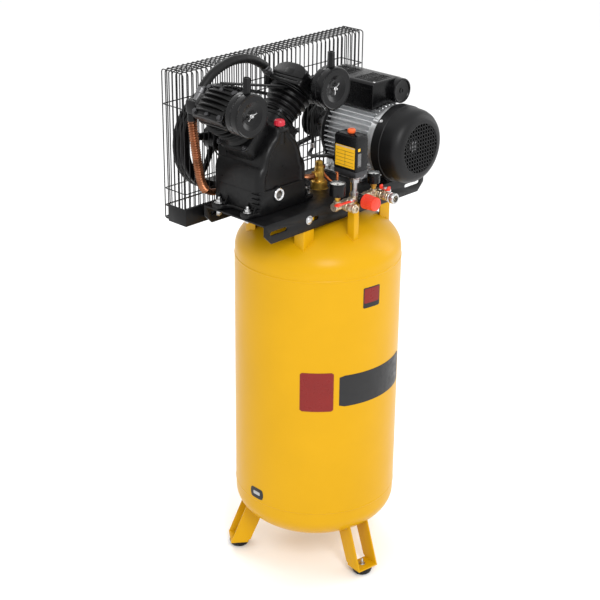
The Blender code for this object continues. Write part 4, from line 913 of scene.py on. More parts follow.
def flywheel():
    wheel = Shape()
    centre = Vector((CRANK.x, BELT_Y, CRANK.z))
    groove = near(WHEEL_RADIUS, 0, 0, -8.5, -10.5, -4.5, -10.5, 4.5, 0, 8.5)
    wheel.lathe([*mm(100.5, -18, 120.5, -18, 122.5, -16), *groove,
        *mm(122.5, 16, 120.5, 18, 100.5, 18, 103, 0)], centre, Y, 128, 0.0006)
    wheel.lathe(mm(12.5, -22, 27, -22, 30, -18.5, 30, 16.5, 27.5, 20, 12.5, 20), centre, Y, 56, 0.001)
    for i in range(5):  # curved fan-like spokes
        turn = tau * (i + 0.25) / 5
        rows = 12
        rings = []
        for row in range(rows + 1):
            share = row / rows
            radius = 0.026 + (0.1035 - 0.026) * share
            angle = turn + 0.1 * sin(share * pi)
            out = face_way(angle)
            side = Vector((-out.z, 0, out.x))
            half = 0.012 - 0.003 * sin(share * pi)
            thick = 0.0052
            twist = 0.35
            way = (side * cos(twist) + Y * sin(twist)).normalized()
            normal = out.cross(way).normalized()
            oval = [(half * copysign(abs(cos(a)) ** 0.7, cos(a)),
                thick * copysign(abs(sin(a)) ** 0.7, sin(a))) for a in turns(20)]
            rings.append([centre + out * radius + way * u + normal * v for u, v in oval])
        wheel.loft(rings)
    piece("flywheel_casting", wheel, CASTING, "flywheel", body="crank")
    end = Shape()
    end.lathe(mm(0, -58, 12, -58, 12, 22.5, 11, 24, 0, 24), centre, Y, 40)
    end.rod(0.015, 0.0205, 0.0225, centre, Y, 32, 0.0004)
    end.nut(centre, Y, 0.017, 0.0222, 0.031)
    piece("flywheel_bolt", end, ZINC, body="crank")


def motor_pulley():
    pulley = Shape()
    centre = Vector((MOTOR.x, BELT_Y, MOTOR.z))
    pulley.lathe(mm(12.1, -12, 40, -12, 42.5, -10, 42.5, -7.8, 33.5, -4.2, 33.5, 4.2, 42.5, 7.8, 42.5, 10, 40,
        12, 33, 12, 31, 9.5, 23, 9.5, 21, 12, 12.1, 12), centre, Y, 72, 0.0005)
    piece("motor_pulley_casting", pulley, CASTING, "motor_pulley", body="rotor")
    screw = Shape()
    screw.rod(0.009, 0.01, 0.0125, centre, Y, 28, 0.0004)
    screw.nut(centre, Y, 0.01, 0.0122, 0.018)
    piece("motor_pulley_screw", screw, ZINC, body="rotor")


def drive_belt():
    a, b = Vector((CRANK.x, 0, CRANK.z)), Vector((MOTOR.x, 0, MOTOR.z))
    gap = b - a
    lean = atan2(gap.z, gap.x)
    big, small = WHEEL_RADIUS - 0.0035, PULLEY_RADIUS - 0.0035
    turn = acos((big - small) / gap.length)
    path = []
    for middle, reach, start, sweep, steps in ((a, big, lean + turn, tau - 2 * turn, 40),
            (b, small, lean - turn, 2 * turn, 20)):
        for i in range(steps + 1):
            angle = start + sweep * i / steps
            path.append(middle + face_way(angle) * reach)
    loop = []
    for p, q in zip(path, path[1:] + path[:1]):
        steps = max(1, round((q - p).length / 0.02))
        loop += [p.lerp(q, k / steps) for k in range(steps)]
    section = mm(-4.2, -3.8, 4.2, -3.8, 6, 3.2, 5.4, 3.8, -5.4, 3.8, -6, 3.2)
    rings = []
    for i, here in enumerate(loop):
        along = (loop[(i + 1) % len(loop)] - loop[i - 1]).normalized()
        out = along.cross(Y).normalized()
        rings.append([here + Y * (BELT_Y + u) + out * v for u, v in section])
    belt = Shape().loft(rings, closed=True)
    piece("drive_belt_loop", belt, BELT, "drive_belt")


def guard():
    low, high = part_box("belt_guard")
    wire, bend = 0.00135, 0.007
    front, back, bottom, top = low.y + 0.0016, high.y - 0.0016, low.z + 0.0016, high.z - 0.0016
    left, right = low.x + 0.0016, high.x - 0.0016
    cage = Shape()

    def hoop(first, last, crown):
        """The sides and the bent corners of a loop that runs up, across and down."""
        points = [(first, bottom), (first, crown - bend - 0.04)] + arc((first + bend, crown - bend), bend,
            180, 90, 5)
        return points + arc((last - bend, crown - bend), bend, 90, 0, 5) + [(last, bottom)]

    openings = ((CRANK, 0.0385), (MOTOR, 0.0325))
    count = 40
    for i in range(count + 1):
        x = left + (right - left) * i / count
        path = [Vector((x, y, z)) for y, z in hoop(front, back, top)]
        runs = [path]
        for centre, gap in openings:  # the front leg stops at a ring round a shaft
            if abs(x - centre.x) < gap:
                reach = sqrt(gap * gap - (x - centre.x) ** 2)
                runs = [[Vector((x, front, centre.z + reach)), *path[1:]], [path[0],
                    Vector((x, front, (bottom + centre.z - reach) / 2)),
                    Vector((x, front, centre.z - reach))]]
        for run in runs:
            cage.sweep(run, wire, 8, up=X)
    for centre, gap in openings:
        ring = [Vector((centre.x + u, front, centre.z + v)) for u, v in circle(gap, 40)]
        cage.sweep(ring, wire * 1.5, 8, closed=True, up=Y)
    for i in range(5):
        y = front + (back - front) * (i + 1) / 6
        cage.sweep([Vector((x, y, z)) for x, z in hoop(left, right, top)], wire, 8, up=Y)

    def level(z, size=wire):
        corners = rounded(rectangle(left, front, right, back), bend, 8)
        ring = []
        for (u, v), (p, q) in zip(corners, corners[1:] + corners[:1]):
            steps = max(1, round(hypot(p - u, q - v) / 0.04))
            ring += [Vector((u + (p - u) * k / steps, v + (q - v) * k / steps, z)) for k in range(steps)]
        return cage.sweep(ring, size, 8, closed=True)

    for z in (0.985, 1.185):
        level(z)
    level(bottom + 0.0004, wire * 2.2)
    level(bottom + 0.03, wire * 1.4)
    piece("guard_wire_cage", cage, WIRE, "belt_guard", angle=60)


# ---------------------------------------------------------------- motor


def motor():
    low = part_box("motor_housing")[0]
    radius, front, back = 0.086, -0.0895, 0.082
    axis = Vector((MOTOR.x, 0, MOTOR.z))
    body = Shape()
    core, fins = radius - 0.0145, 44
    outline = []
    half = 0.0019
    for middle in turns(fins):
        steps = ((core, 1.9), (core + 0.003, 1.15), (radius - 0.0012, 0.85), (radius, 0.35))
        outline += [(reach, middle - half * wide / reach) for reach, wide in steps]
        outline += [(reach, middle + half * wide / reach) for reach, wide in reversed(steps)]
    rings = []
    for y, pull in ((front + 0.021, 0.003), (front + 0.0228, 0.0), (back - 0.0198, 0.0),
            (back - 0.018, 0.003)):
        ring = []
        for reach, angle in outline:
            r = max(core - 0.001, reach - pull) if reach > core else core
            ring.append(axis + Vector((r * cos(angle), y, r * sin(angle))))
        rings.append(ring)
    body.loft(rings)
    body.lathe([(0.0, front), *near(radius, front, -12, 0, -3, 3, -1.2, 12, -1.2, 20.5, -12, 21.5),
        (0, front + 0.0215)], axis, Y, 96, 0.0012)
    spots = [axis + Vector((u, 0, v)) for u, v in arc((0, 0), radius - 0.0045, 45, 315, 3)]
    for spot in spots:
        body.lathe(near(0, front, 0, 2, 6.8, 2, 7.5, 18, 0, 18), spot, Y, 20, 0.001)
    for x in (-1, 1):  # feet
        foot = [(x * 0.03, low.z), (x * 0.072, low.z), (x * 0.072, low.z + 0.0085), (x * 0.066, low.z + 0.01),
            (x * 0.059, low.z + 0.0135), (x * 0.06, low.z + 0.026), (x * 0.052, low.z + 0.04),
            (x * 0.034, low.z + 0.034), (x * 0.03, low.z + 0.006)]
        foot = foot if x > 0 else foot[::-1]
        for y_low, y_high in ((-0.048, -0.012), (0.042, 0.078)):
            body.prism(rounded(foot, 0.003, 3), (MOTOR.x, 0, 0), X, Z, -y_high, -y_low, 0.0015)
        rail = rounded(rectangle(min(x * 0.046, x * 0.072), low.z, max(x * 0.046, x * 0.072), low.z + 0.0085),
            0.002, 2)
        body.prism(rail, (MOTOR.x, 0, 0), X, Z, -0.078, 0.048, 0.0015)
    piece("motor_casing", body, BRIGHT_ALUMINIUM, "motor_housing", angle=30)
    shield = Shape()
    shield.lathe([(0.014, back - 0.0185), *near(radius, back, -0.8, -18.5, -0.8, -10, -6, -3),
        *near(0, back, 60, -1, 40, 0, 30, -1, 28, 6, 23, 8.5, 14, 8.5)], axis, Y, 96, 0.0012)
    ties = Shape()
    for spot in spots:
        shield.lathe(near(0, back, 0, -17, 7.8, -17, 6.8, -2, 0, -2), spot, Y, 20, 0.001)
        ties.bolt(spot + Y * (back - 0.0022), Y, 0.008, 0.0045, thread=0.002)
    piece("motor_drive_shield", shield, CASTING, slotted=True)
    piece("motor_tie_bolts", ties, ZINC)


def fan_cover():
    axis = Vector((MOTOR.x, 0, MOTOR.z))
    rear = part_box("fan_cover")[1].y
    wall = 0.002
    profile = [*near(0, rear, 90.6, 0, 91.2, -0.6, 91.2, -24, 89.8, -25.2, 89.3, -30), *mm(88.2, -142, 85,
        -152, 79.5, -159.5, 73, -164, 67, -165.8, 60.5, -166.2)]
    cover = Shape().lathe(profile + [(r - wall,
        y + wall * (1 if y < rear - 0.031 else 0) + (0 if y < rear else -0.0001))
        for r, y in reversed(profile)], axis, Y, 112)
    cell, reach, mesh_y = 0.0092, 0.0612, -0.165
    steps = int(reach / cell) + 1
    for i in range(-steps, steps + 1):
        level = (i + 0.5) * cell
        if abs(level) < reach:
            half = sqrt(reach * reach - level * level)
            for low_u, low_v, high_u, high_v in ((-half, level - 0.0013, half, level + 0.0013),
                    (level - 0.0013, -half, level + 0.0013, half)):
                cover.prism(rectangle(low_u, low_v, high_u, high_v), axis, X, Z, -mesh_y - 0.0008,
                    -mesh_y + 0.0008)
    cover.ring(0.059, 0.0625, -0.1664, -0.1642, axis, Y, 80, 0.0004)
    piece("fan_cover_shell", cover, SMOOTH_PLASTIC, "fan_cover")
    screws = Shape()
    for i in range(4):
        angle = radians(45 + 90 * i)
        out = face_way(angle)
        screws.lathe(mm(0, 0, 4.6, 0, 4.2, 1.6, 2, 2.2, 0, 2.2), axis + out * 0.091 + Y * (rear - 0.0085),
            out, 20)
    piece("fan_cover_screws", screws, ZINC)


def terminal_box():
    low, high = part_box("terminal_box")
    front, spot = -0.062, Vector((0.1997, 0, 1.1748))
    outline = [(low.x, low.z), (0.214, low.z)] + arc((spot.x, spot.z), high.z - spot.z, -58, 90, 14)
    outline += arc((low.x + 0.008, high.z - 0.008), 0.008, 90, 180, 5)
    box = Shape()
    box.prism(outline, (0, 0, 0), X, Z, -high.y, -front, 0.0022, 3)
    rim = near(low.x, high.z, 0.6, -16.5, -0.5, -16, -0.5, -14.5, 0.6, -14)
    box.prism(rim, (0, 0, 0), X, Z, -high.y + 0.003, -front - 0.003)
    box.lathe(mm(0, 50, 29.7, 50, 29.7, 76.5, 28.5, 78.6, 26.2, 78.6, 25.5, 77, 24, 75.2, 12, 74.8, 0, 74.8),
        spot, -Y, 72, 0.0005)
    box.lathe(mm(4, 74, 6.6, 74, 6.4, 76.2, 4.4, 76.2), spot, -Y, 40, 0.0003)
    for y_low, y_high in ((front + 0.012, front + 0.068), (high.y - 0.068, high.y - 0.012)):
        for i in range(10):
            x = low.x + 0.016 + 0.0066 * i
            box.box((x - 0.0012, y_low, high.z - 0.002), (x + 0.0012, y_high, high.z + 0.001), 0.0005)
        for y in (y_low, (y_low + y_high) / 2, y_high):
            box.box((low.x + 0.0135, y - 0.0013, high.z - 0.002),
                (low.x + 0.078, y + 0.0013, high.z + 0.0011), 0.0005)
    box.box((low.x + 0.006, front + 0.006, low.z - 0.006), (0.208, high.y - 0.03, low.z + 0.002), 0.001,
        0.004)
    piece("terminal_box_housing", box, PLASTIC, "terminal_box")
    screws = Shape()
    for y in (front + 0.0075, high.y - 0.0075):
        screws.lathe(mm(0, 0, 3, 0, 2.7, 0.8, 0, 1), (low.x + 0.012, y, high.z - 0.0001), Z, 16)
    piece("terminal_box_screws", screws, ZINC)


def inner_parts():
    """Finishes for the CAD parts that are seen as they are."""
    for node, material in (("cooling_fan", PLASTIC), ("motor_rotor", STEEL), ("crankshaft", STEEL),
            ("piston_left", ALUMINIUM), ("piston_right", ALUMINIUM), ("connecting_rod_left", ALUMINIUM),
            ("connecting_rod_right", ALUMINIUM)):
        data = frame["nodes"][node].data
        data.materials.clear()
        data.materials.append(material)


# ---------------------------------------------------------------- air fittings

PIPE_Y, PIPE_Z = -0.138, 0.975  # the manifold's axis, along X
SWITCH_X, REGULATOR_X = -0.03, -0.016
OUTLETS = (("left", -0.072, 0.184), ("right", 0.044, 0.188))  # side, x, how far forward the end is


def valve_and_tube():
    valve = Shape()
    valve.nut((0, 0, 0), Z, 0.0355, 0.9345, 0.983)
    valve.rod(0.0185, 0.9325, 0.935, sides=40, soft=0.0005)
    valve.lathe(mm(0, 982, 13, 982, 11.5, 985, 11.5, 1006, 9.5, 1008, 9.5, 1019, 0, 1019), sides=40,
        soft=0.0008)
    valve.nut((0, 0, 0), Z, 0.02, 1.0065, 1.0165)
    piece("check_valve_body", valve, BRASS, "check_valve")
    top = Shape()
    top.lathe(mm(0, 1018.5, 8, 1018.5, 8.5, 1019.5, 8.5, 1029, 6, 1031.5, 0, 1032), sides=36)
    top.nut((-0.01, 0, 0.998), -X, 0.0185, 0.0, 0.0105)
    top.rod(0.007, -0.001, 0.0005, (-0.01, 0, 0.998), -X, 24)
    piece("check_valve_nuts", top, BRASS)
    run = mm(7, -2, 1013.5, 15, 2, 1008.5, 18, 2, 996, 24, -6, 983.5, 28, -18, 974.5, 20, -36, 971.5, 4, -56,
        973, -15, -74, 986, -28, -83, 1006, -30, -85, 1036, size=3)
    tube = Shape().sweep(smooth(run, 0.002), 0.0029, 14)
    tube.nut((-0.03, -0.085, 1.029), Z, 0.0095, 0.0, 0.0075)
    tube.nut((0.008, -0.0022, 1.0138), Vector((1, 0.3, -0.2)).normalized(), 0.0095, 0.0, 0.007)
    piece("unloader_pipe", tube, RED_COPPER, "unloader_tube")


def gauge(name, radius, base, top):
    body, needle_node = name.replace("gauge", "needle"), name + "_needle"
    centre = Vector(JOINTS[body + "_turn"]["pos_m"])
    centre.z = 0
    low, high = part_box(needle_node)
    floor = low.z - 0.0003
    lip = radius - 0.0016
    case = Shape()
    case.lathe([(0, base), (radius - 0.003, base), (radius - 0.0005, base + 0.0022),
        *near(radius, top, -0.5, -8, 0, -7.2, 0, -1, -0.8, 0), (lip, top - 0.0002), (lip, floor - 0.0006),
        (0, floor - 0.0006)], centre, Z, 72, 0.0003)
    case.lathe(near(0, base, 0, -16, 5, -16, 5, -6, 6, -4.5, 6, 1, 0, 1), centre, Z, 28)
    piece(name + "_case", case, PLASTIC, name)
    stem = Shape().nut(centre, Z, 0.0125, base - 0.0085, base - 0.0015)
    stem.rod(0.0052, base - 0.018, base - 0.008, centre, Z, 24)
    piece(name + "_stem", stem, BRASS)
    dial = Shape().rod(lip - 0.0001, floor - 0.0007, floor, centre, Z, 72)
    piece(name + "_dial", dial, DIAL)
    marks = Shape()
    for i in range(41):
        angle = radians(225 - 270 * i / 40)
        out = flat_way(angle)
        side = Vector((-out.y, out.x, 0))
        inner, half = (0.72, 0.0004) if i % 5 == 0 else (0.79, 0.0002)
        marks.prism(rectangle(inner * radius, -half, 0.86 * radius, half), centre, out, side, floor - 0.0001,
            floor + 0.0002)
    marks.ring(0.55 * radius, 0.57 * radius, floor - 0.0001, floor + 0.0002, centre, Z, 64)
    piece(name + "_marks", marks, INK)
    rest = middle_of(needle_node) - centre
    way = rest.normalized() if rest.length > 1e-4 else Vector((-0.7071, -0.7071, 0))
    length = radius * 0.7
    pointer = [(-length * 0.35, -0.0011), (0, -0.0009), (length, -0.00025), (length, 0.00025), (0, 0.0009),
        (-length * 0.35, 0.0011)]
    needle = Shape().prism(pointer, centre, way, Z.cross(way), low.z + 0.0004, low.z + 0.001)
    needle.lathe([(0, low.z), (0.0022, low.z), *near(0, high.z, 2.2, -0.4, 1.4, 0, 0, 0)], centre, Z, 24)
    piece(name + "_pointer", needle, INK, needle_node, body=body)
    lens = Shape().lathe([(0, top - 0.0009), (lip - 0.0001, top - 0.0009), (lip - 0.0001, top - 0.0005),
        (0, top - 0.0004)], centre, Z, 64)
    piece(name + "_lens", lens, GLASS)


def manifold():
    y, z = PIPE_Y, PIPE_Z
    pipe = Shape()
    pipe.lathe(mm(0, 0, 9.2, 0, 9.5, 0.5, 9.5, 155.5, 9, 156, 0, 156), (-0.1, y, z), X, 40)
    for x, across, length in ((-0.098, 0.019, 0.0085), (-0.064, 0.0205, 0.01), (-0.044, 0.0205, 0.01),
            (0.006, 0.0205, 0.01), (0.0205, 0.0205, 0.008), (0.0475, 0.019, 0.008)):
        pipe.nut((x, y, z), X, across, 0, length)
    for x in (-0.087, 0.036, -0.03):
        pipe.lathe(mm(0, 0, 8.5, 0, 8.5, 12, 7, 13.2, 0, 13.2), (x, y, z), Z, 32, 0.0005)
    for _, x, _ in OUTLETS:
        pipe.rod(0.009, 0, 0.014, (x, y, z), -Y, 32, 0.0005)
        pipe.nut((x, y, z), -Y, 0.0175, 0.0085, 0.0145)
    piece("manifold_pipe", pipe, NICKEL, "manifold")
    nut = Shape().nut((-0.036, -0.14, 0), Z, 0.0265, 0.9552, 0.9705)
    nut.rod(0.01, 0.955, 0.976, (-0.036, -0.14, 0), Z, 32)
    piece("manifold_nut", nut, BRASS)


def regulator():
    body = Shape()
    body.lathe(mm(0, -12, 11.8, -12, 12.5, -10.5, 12.5, 12, 11.5, 13, 10.5, 18.5, 10.5, 22.5, 0, 22.5),
        (REGULATOR_X, PIPE_Y, PIPE_Z), -Y, 40, 0.0006)
    piece("regulator_body", body, PLASTIC)
    low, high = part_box("regulator_knob")
    knob = Shape()
    centre = Vector((REGULATOR_X, low.y, PIPE_Z))
    depth = high.y - low.y

    def ribs(angle, height):
        if -0.003 > height > -depth + 0.004:
            return -0.0007 * (0.5 + 0.5 * cos(angle * 22)) ** 2
        return 0.0

    knob.lathe([*mm(0, 0, 12, 0, 14.5, -0.8, 15.8, -2.8, 16, -3.5, 16.6, -18), (0.0172, -depth + 0.0055),
        (0.0175, -depth + 0.0045), (0.0175, -depth), (0, -depth)], centre, -Y, 176, wave=ribs)
    knob.ring(0.0095, 0.0102, -0.0005, 0.0003, centre, -Y, 64)
    piece("regulator_knob_cap", knob, RED, "regulator_knob", body="regulator_knob")


LEVER_Y = -0.166


def outlet_valve(side, x, end):
    valve = Shape()
    valve.nut((x, 0, PIPE_Z), -Y, 0.0195, 0.153, 0.1595)
    valve.lathe(mm(0, 158.5, 8.8, 158.5, 10.4, 162, 10.8, 166, 10.4, 170, 8.8, 173.5, 0, 173.5),
        (x, 0, PIPE_Z), -Y, 40)
    valve.nut((x, 0, PIPE_Z), -Y, 0.0185, 0.1725, 0.179 if side == "left" else 0.177)
    if side == "left":
        threads = []
        for i in range(4):
            start = 0.1788 + i * (end - 0.1792) / 4
            threads += near(0, start, 7.8, 0, 8.6, 0.6, 7.8, 1.2)
        valve.lathe([(0.0045, 0.1785), *threads, (0.0074, end), (0.0045, end)], (x, 0, PIPE_Z), -Y, 40)
    else:
        valve.lathe([(0.004, 0.176), (0.0076, 0.176), *near(0, end, 7.6, -3, 7, 0, 4, 0)], (x, 0, PIPE_Z), -Y,
            36)
    valve.lathe(mm(0, 0, 6, 0, 6, 12, 5, 13.2, 3.2, 13.4, 3.2, 14.5, 0, 14.5), (x, LEVER_Y, PIPE_Z), Z, 28)
    piece("ball_valve_" + side, valve, NICKEL, "outlet_valve_" + side)


def outlet_lever(side, x):
    node = "outlet_lever_" + side
    low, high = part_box(node)
    pivot = Vector((x, LEVER_Y, 0))
    lever = Shape()
    if side == "left":
        length = pivot.x - low.x
        half = (high.y - low.y) / 2
        outline = [(-0.0085, -half * 0.62), (0.006, -half * 0.66), (length * 0.55, -half * 0.52),
            (length - 0.014, -half * 0.8), (length - 0.004, -half), (length, -half * 0.5)]
        outline += [(u, -v) for u, v in reversed(outline)]
        lever.prism(rounded(outline, 0.0035, 3), pivot, -X, -Y, low.z, low.z + 0.003, 0.001)
        tip = [pivot - X * (length - 0.016) + Z * (low.z + 0.003),
            pivot - X * (length - 0.01) + Z * (low.z + 0.0032),
            pivot - X * (length - 0.0045) + Z * (low.z + 0.003)]
        lever.sweep(tip, lambda t: half * (0.62 + 0.25 * sin(t * pi)), 16, flat=0.5, up=Z)
    else:
        reach = (high.y - low.y) / 2
        half = (high.x - low.x) / 2
        outline = []
        for u, v in circle(1, 40):
            waist = 0.62 + 0.38 * min(1, abs(v) * 1.6)
            outline.append((half * u * waist, reach * copysign(abs(v) ** 0.8, v)))
        lever.prism(outline, pivot, X, Y, low.z, low.z + 0.003, 0.001)
        for end in (reach - 0.0035, -reach + 0.0035):
            tab = rounded(rectangle(-half * 0.75, low.z + 0.001, half * 0.75, high.z), 0.003, 3)
            lever.prism(tab, (pivot.x, pivot.y, 0), X, Z, end - 0.0014, end + 0.0014, 0.0008)
    piece("lever_handle_" + side, lever, RED, node, body="lever_" + side)
    cap = Shape().rod(0.006, low.z + 0.0026, low.z + 0.0036, pivot, Z, 24)
    cap.nut(pivot, Z, 0.007, low.z + 0.0032, low.z + 0.0066)
    piece("lever_nut_" + side, cap, ZINC, body="lever_" + side)


def coupler():
    low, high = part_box("coupler_sleeve")
    centre = Vector((OUTLETS[1][1], 0, PIPE_Z))
    start, end = -high.y, -low.y
    sleeve = Shape()
    sleeve.lathe([*near(0, start, 8.1, 0, 11, 0, 12.2, 1, 12.2, 3, 10.8, 4.2, 10.8, 5.5, 12, 6.2, 12.2, 6.8),
        *near(0, end, 12.2, -4, 12, -3.4, 11.2, -2.8, 12.2, -2.2, 12.2, -0.8, 11.4, 0, 8.1, 0)], centre, -Y,
        120, wave=ripple(0.00028, 30, start + 0.0055, end - 0.0035))
    piece("coupler_sleeve_ring", sleeve, ZINC, "coupler_sleeve", body="coupler_sleeve")


def safety_valve():
    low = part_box("safety_valve")[0]
    centre = Vector((0, -0.108, 0))
    valve = Shape()
    valve.rod(0.0062, low.z, 0.97, centre, Z, 28)
    valve.nut(centre, Z, 0.0165, 0.968, 0.9775)
    valve.lathe(mm(0, 977, 7.2, 977, 7.2, 980, 6.4, 980.6, 6.4, 999, 7.2, 1000, 7.2, 1003, 6, 1003.8, 0,
        1003.8), centre, Z, 40, 0.0004, wave=ripple(0.00025, 24, 1.0, 1.0035))
    for i in range(5):
        z = 0.9825 + i * 0.0032
        valve.lathe(near(0, z, 6, 0, 7, 0.6, 7, 1.2, 6, 1.8), centre, Z, 32)
    piece("safety_valve_body", valve, BRASS, "safety_valve")
    p_low, p_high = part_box("safety_valve_pull")
    pull = Shape()
    pull.rod(0.0024, p_low.z, p_high.z - 0.0035, centre, Z, 20)
    radius = min((p_high.x - p_low.x), 0.016) / 2 - 0.0007
    tall = p_high.z - 0.0008
    hoop = [Vector((centre.x + radius * cos(a), centre.y + radius * sin(a), tall - 0.0004))
        for a in turns(40)]
    pull.sweep(hoop, 0.0008, 8, closed=True)
    pull.lathe([(0, p_high.z - 0.004), (radius, p_high.z - 0.0018), (radius, p_high.z - 0.0012),
        (0.002, p_high.z - 0.0022), (0, p_high.z - 0.0022)], centre, Z, 24)
    piece("safety_valve_ring", pull, ZINC, "safety_valve_pull", body="safety_pull")


def pressure_switch():
    low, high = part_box("pressure_switch_cover")
    stem = Shape()
    stem.nut((SWITCH_X, PIPE_Y, 0), Z, 0.0165, 0.987, 0.9965)
    stem.rod(0.0062, 0.984, 1.033, (SWITCH_X, PIPE_Y, 0), Z, 32)
    stem.nut((SWITCH_X, PIPE_Y, 0), Z, 0.019, 1.018, 1.029)
    stem.lathe(mm(0, 1028.5, 12, 1028.5, 13.5, 1031, 13.5, 1040, 0, 1040), (SWITCH_X, PIPE_Y, 0), Z, 40,
        0.0006)
    piece("pressure_switch_stem", stem, STEEL)
    base = Shape()
    base.box((low.x, low.y, 1.0385), (high.x, high.y, low.z - 0.0002), 0.0016, 0.004)
    base.box((low.x + 0.004, low.y + 0.006, 1.033), (high.x - 0.004, high.y - 0.01, 1.04), 0.0012, 0.003)
    for z in (1.0415, 1.045):
        base.box((low.x + 0.0002, low.y + 0.004, z), (high.x - 0.0002, high.y - 0.004, z + 0.0014), 0.0003)
    base.lathe(mm(0, 0, 9.5, 0, 9.5, 4, 8, 5.2, 8, 10, 6.6, 11.2, 0, 11.2), (-0.03, high.y - 0.001, 1.0625),
        Y, 32, 0.0006)
    piece("pressure_switch_plate", base, IRON, "pressure_switch_base")
    cover = Shape()
    outline = rounded(rectangle(low.x, low.y, high.x, high.y), 0.0042, 4)
    height = high.z
    rings = []
    for z, pull in ((low.z, 0.0006), (low.z + 0.0008, 0.0), (height - 0.01, 0.0006),
            (height - 0.0045, 0.0014), (height - 0.0018, 0.003), (height - 0.0004, 0.0058), (height, 0.0085)):
        ring = inset(outline, pull) if pull else outline
        rings.append([Vector((u, v, z)) for u, v in ring])
    cover.loft(rings)
    cover.box((low.x + 0.0002, low.y + 0.0002, low.z + 0.004),
        (high.x - 0.0002, high.y - 0.0002, low.z + 0.0052), 0.0002, 0.004)
    cover.lathe(near(0, height, 0, -1, 12.8, -1, 12.5, 0.2, 11.5, 0.4, 0, 0.4), (-0.03, -0.125, 0), Z, 40)
    cover.lathe(near(0, height, 0, -1, 5, -1, 5, 0.1, 3.5, 0.2, 0, -0.6), (-0.03, -0.1, 0), Z, 24)
    piece("pressure_switch_hood", cover, GLOSS_PLASTIC, "pressure_switch_cover")


def switch_labels():
    """The side label, and plain lines and marks for its small print."""
    low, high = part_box("pressure_switch_cover")
    skin = low.x - 0.0001
    label = Shape()
    plate = rounded(rectangle(low.y + 0.006, 1.0565, high.y - 0.006, 1.106), 0.0015, 2)
    label.prism(plate, (skin, 0, 0), Y, Z, -0.0002, 0.0005)
    label.prism(rounded(rectangle(-0.0455, 1.0985, -0.0385, 1.105), 0.0008, 2), (0, low.y, 0), X, Z, -0.0002,
        0.0004)
    piece("switch_side_label", label, LABEL_YELLOW)
    lines = Shape()
    for row in range(5):
        z = 1.061 + row * 0.0082
        lines.prism(rectangle(low.y + 0.009, z, high.y - 0.009, z + 0.0007), (skin - 0.0002, 0, 0), Y, Z,
            -0.0002, 0.0002)
    lines.prism(rectangle(-0.1255, 1.06, -0.1248, 1.095), (skin - 0.0002, 0, 0), Y, Z, -0.0002, 0.0002)
    piece("switch_label_lines", lines, LABEL_DARK)
    pale = Shape()
    pale.prism(rectangle(low.y + 0.007, 1.1028, high.y - 0.007, 1.1048), (skin - 0.0003, 0, 0), Y, Z, -0.0002,
        0.0002)
    for i in range(5):
        x = -0.045 + 0.0022 * i
        pale.prism(rectangle(x, 1.062 + 0.003 * (i % 2), x + 0.0006, 1.093), (0, low.y, 0), X, Z, -0.0002,
            0.0003)
    piece("switch_pale_marks", pale, LABEL_GREY)


def switch_knob():
    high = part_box("pressure_switch_cover")[1]
    centre = middle_of("switch_knob")
    knob = Shape()
    base_z, top_z, radius = high.z + 0.0005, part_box("switch_knob")[1].z, 0.0088
    knob.lathe([(0, base_z), (radius * 0.8, base_z), (radius * 0.8, base_z + 0.0016),
        (radius, base_z + 0.0022), (radius, top_z - 0.0024), (radius * 0.94, top_z - 0.0008),
        (radius * 0.8, top_z), (0, top_z)], centre, Z, 96, 0.0004,
        wave=ripple(0.00025, 16, base_z + 0.002, top_z - 0.002))
    knob.box((centre.x - 0.0012, centre.y - radius * 0.7, top_z - 0.0015),
        (centre.x + 0.0012, centre.y + radius * 0.7, top_z), 0.0003)
    piece("switch_knob_cap", knob, ORANGE, "switch_knob", body="switch_knob")


def motor_lead():
    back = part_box("pressure_switch_cover")[1].y
    gland = Shape()
    box_low, box_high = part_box("terminal_box")
    gland.nut((box_low.x + 0.012, box_high.y - 0.012, box_low.z + 0.0005), -Z, 0.015, 0.0, 0.007)
    gland.nut((-0.03, back + 0.008, 1.0625), Y, 0.015, 0.0, 0.006)
    gland.lathe(mm(0, -10, 6.2, -10, 6.2, 9, 5, 10.5, 0, 10.5), (-0.03, back + 0.008, 1.0625), Y, 28)
    piece("cable_glands", gland, PLASTIC)
    clip = Shape().ring(0.004, 0.0062, -0.006, 0.006, (0.0685, 0.086, 1.034), Z, 28, 0.0006)
    piece("lead_sleeve", clip, ZINC)
    run = [(-0.03, back + 0.018, 1.0625), (-0.028, -0.052, 1.061), (-0.01, -0.015, 1.048),
        (0.018, 0.04, 1.03), (0.045, 0.076, 1.02), (0.064, 0.086, 1.024), (0.0685, 0.086, 1.04),
        (0.068, 0.088, 1.075), (0.076, 0.094, 1.108), (0.098, 0.098, 1.13), (0.12, 0.098, 1.142)]
    lead = Shape().sweep(smooth(run, 0.003), 0.004, 16)
    piece("motor_lead", lead, RUBBER, slotted=True)


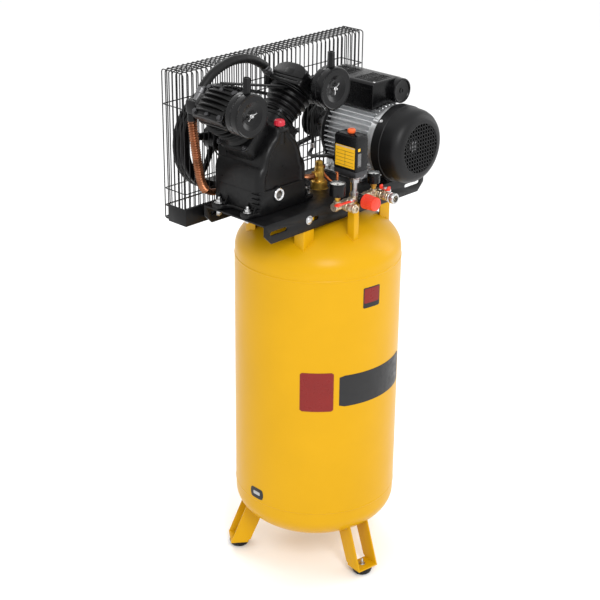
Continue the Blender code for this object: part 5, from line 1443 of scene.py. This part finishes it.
tank()
feet()
deck()
pump_case()
pump_fittings()
cylinders()
heads()
intercooler()
discharge_pipe()
head_tie()
filters()
flywheel()
motor_pulley()
drive_belt()
guard()
motor()
fan_cover()
terminal_box()
inner_parts()
valve_and_tube()
gauge("tank_gauge", 0.019, 1.0, 1.031)
gauge("line_gauge", 0.0155, 1.0015, 1.027)
manifold()
regulator()
for side, x, end in OUTLETS:
    outlet_valve(side, x, end)
    outlet_lever(side, x)
coupler()
safety_valve()
pressure_switch()
switch_labels()
switch_knob()
motor_lead()


# ---------------------------------------------------------------- stage


def softbox(name, place, aim, size, power):
    lamp = bpy.data.lights.new(name, "AREA")
    lamp.shape, lamp.energy = "RECTANGLE", power
    lamp.size, lamp.size_y = size
    made = link(name, lamp)
    made.location = place
    made.rotation_euler = (Vector((0, 0, aim)) - Vector(place)).to_track_quat("-Z", "Y").to_euler()


def stage():
    size, level = 30.0, -0.0002
    floor = bpy.data.meshes.new("floor")
    floor.from_pydata([(u, v, level) for u, v in rectangle(-size, -size, size, size)], [], [(0, 1, 2, 3)])
    floor.materials.append(finish("pale_floor", None, (0.975, 0.975, 0.975), 0.7, 0, 0.004, 1, 60, 0.05, 0.05,
        specular=0.1))
    link("floor", floor)
    scene = bpy.context.scene
    scene.world = bpy.data.worlds.new("studio")
    scene.world.use_nodes = True
    background = scene.world.node_tree.nodes["Background"]
    background.inputs["Color"].default_value = (1, 1, 1, 1)
    background.inputs["Strength"].default_value = 1.04
    scene.view_settings.view_transform = "Standard"
    softbox("key", (-1.6, -2.6, 2.9), 0.7, (1.2, 1.2), 60)
    softbox("side", (2.8, -1.2, 1.8), 0.7, (1.2, 2.2), 20)
    softbox("rim", (0.6, 2.6, 2.6), 0.9, (2.0, 1.2), 25)


def camera():
    data = bpy.data.cameras.new("camera")
    data.sensor_width, data.lens, data.clip_end = 36, 89.744, 60
    data.shift_x, data.shift_y = 0.01119, 0.01115
    turn, tilt, roll = radians(-46.1), radians(23.734), radians(0.4996)
    back = Vector((sin(turn) * cos(tilt), -cos(turn) * cos(tilt), sin(tilt)))
    right = Vector((cos(turn), sin(turn), 0))
    up = back.cross(right)
    across, upright = right * cos(roll) + up * sin(roll), up * cos(roll) - right * sin(roll)
    place = Matrix((across, upright, back)).transposed().to_4x4()
    place.translation = (-2.4444, -2.27192, 2.12432)
    made = link("camera", data)
    made.matrix_world = place
    bpy.context.scene.camera = made


stage()
camera()
bpy.context.view_layer.update()
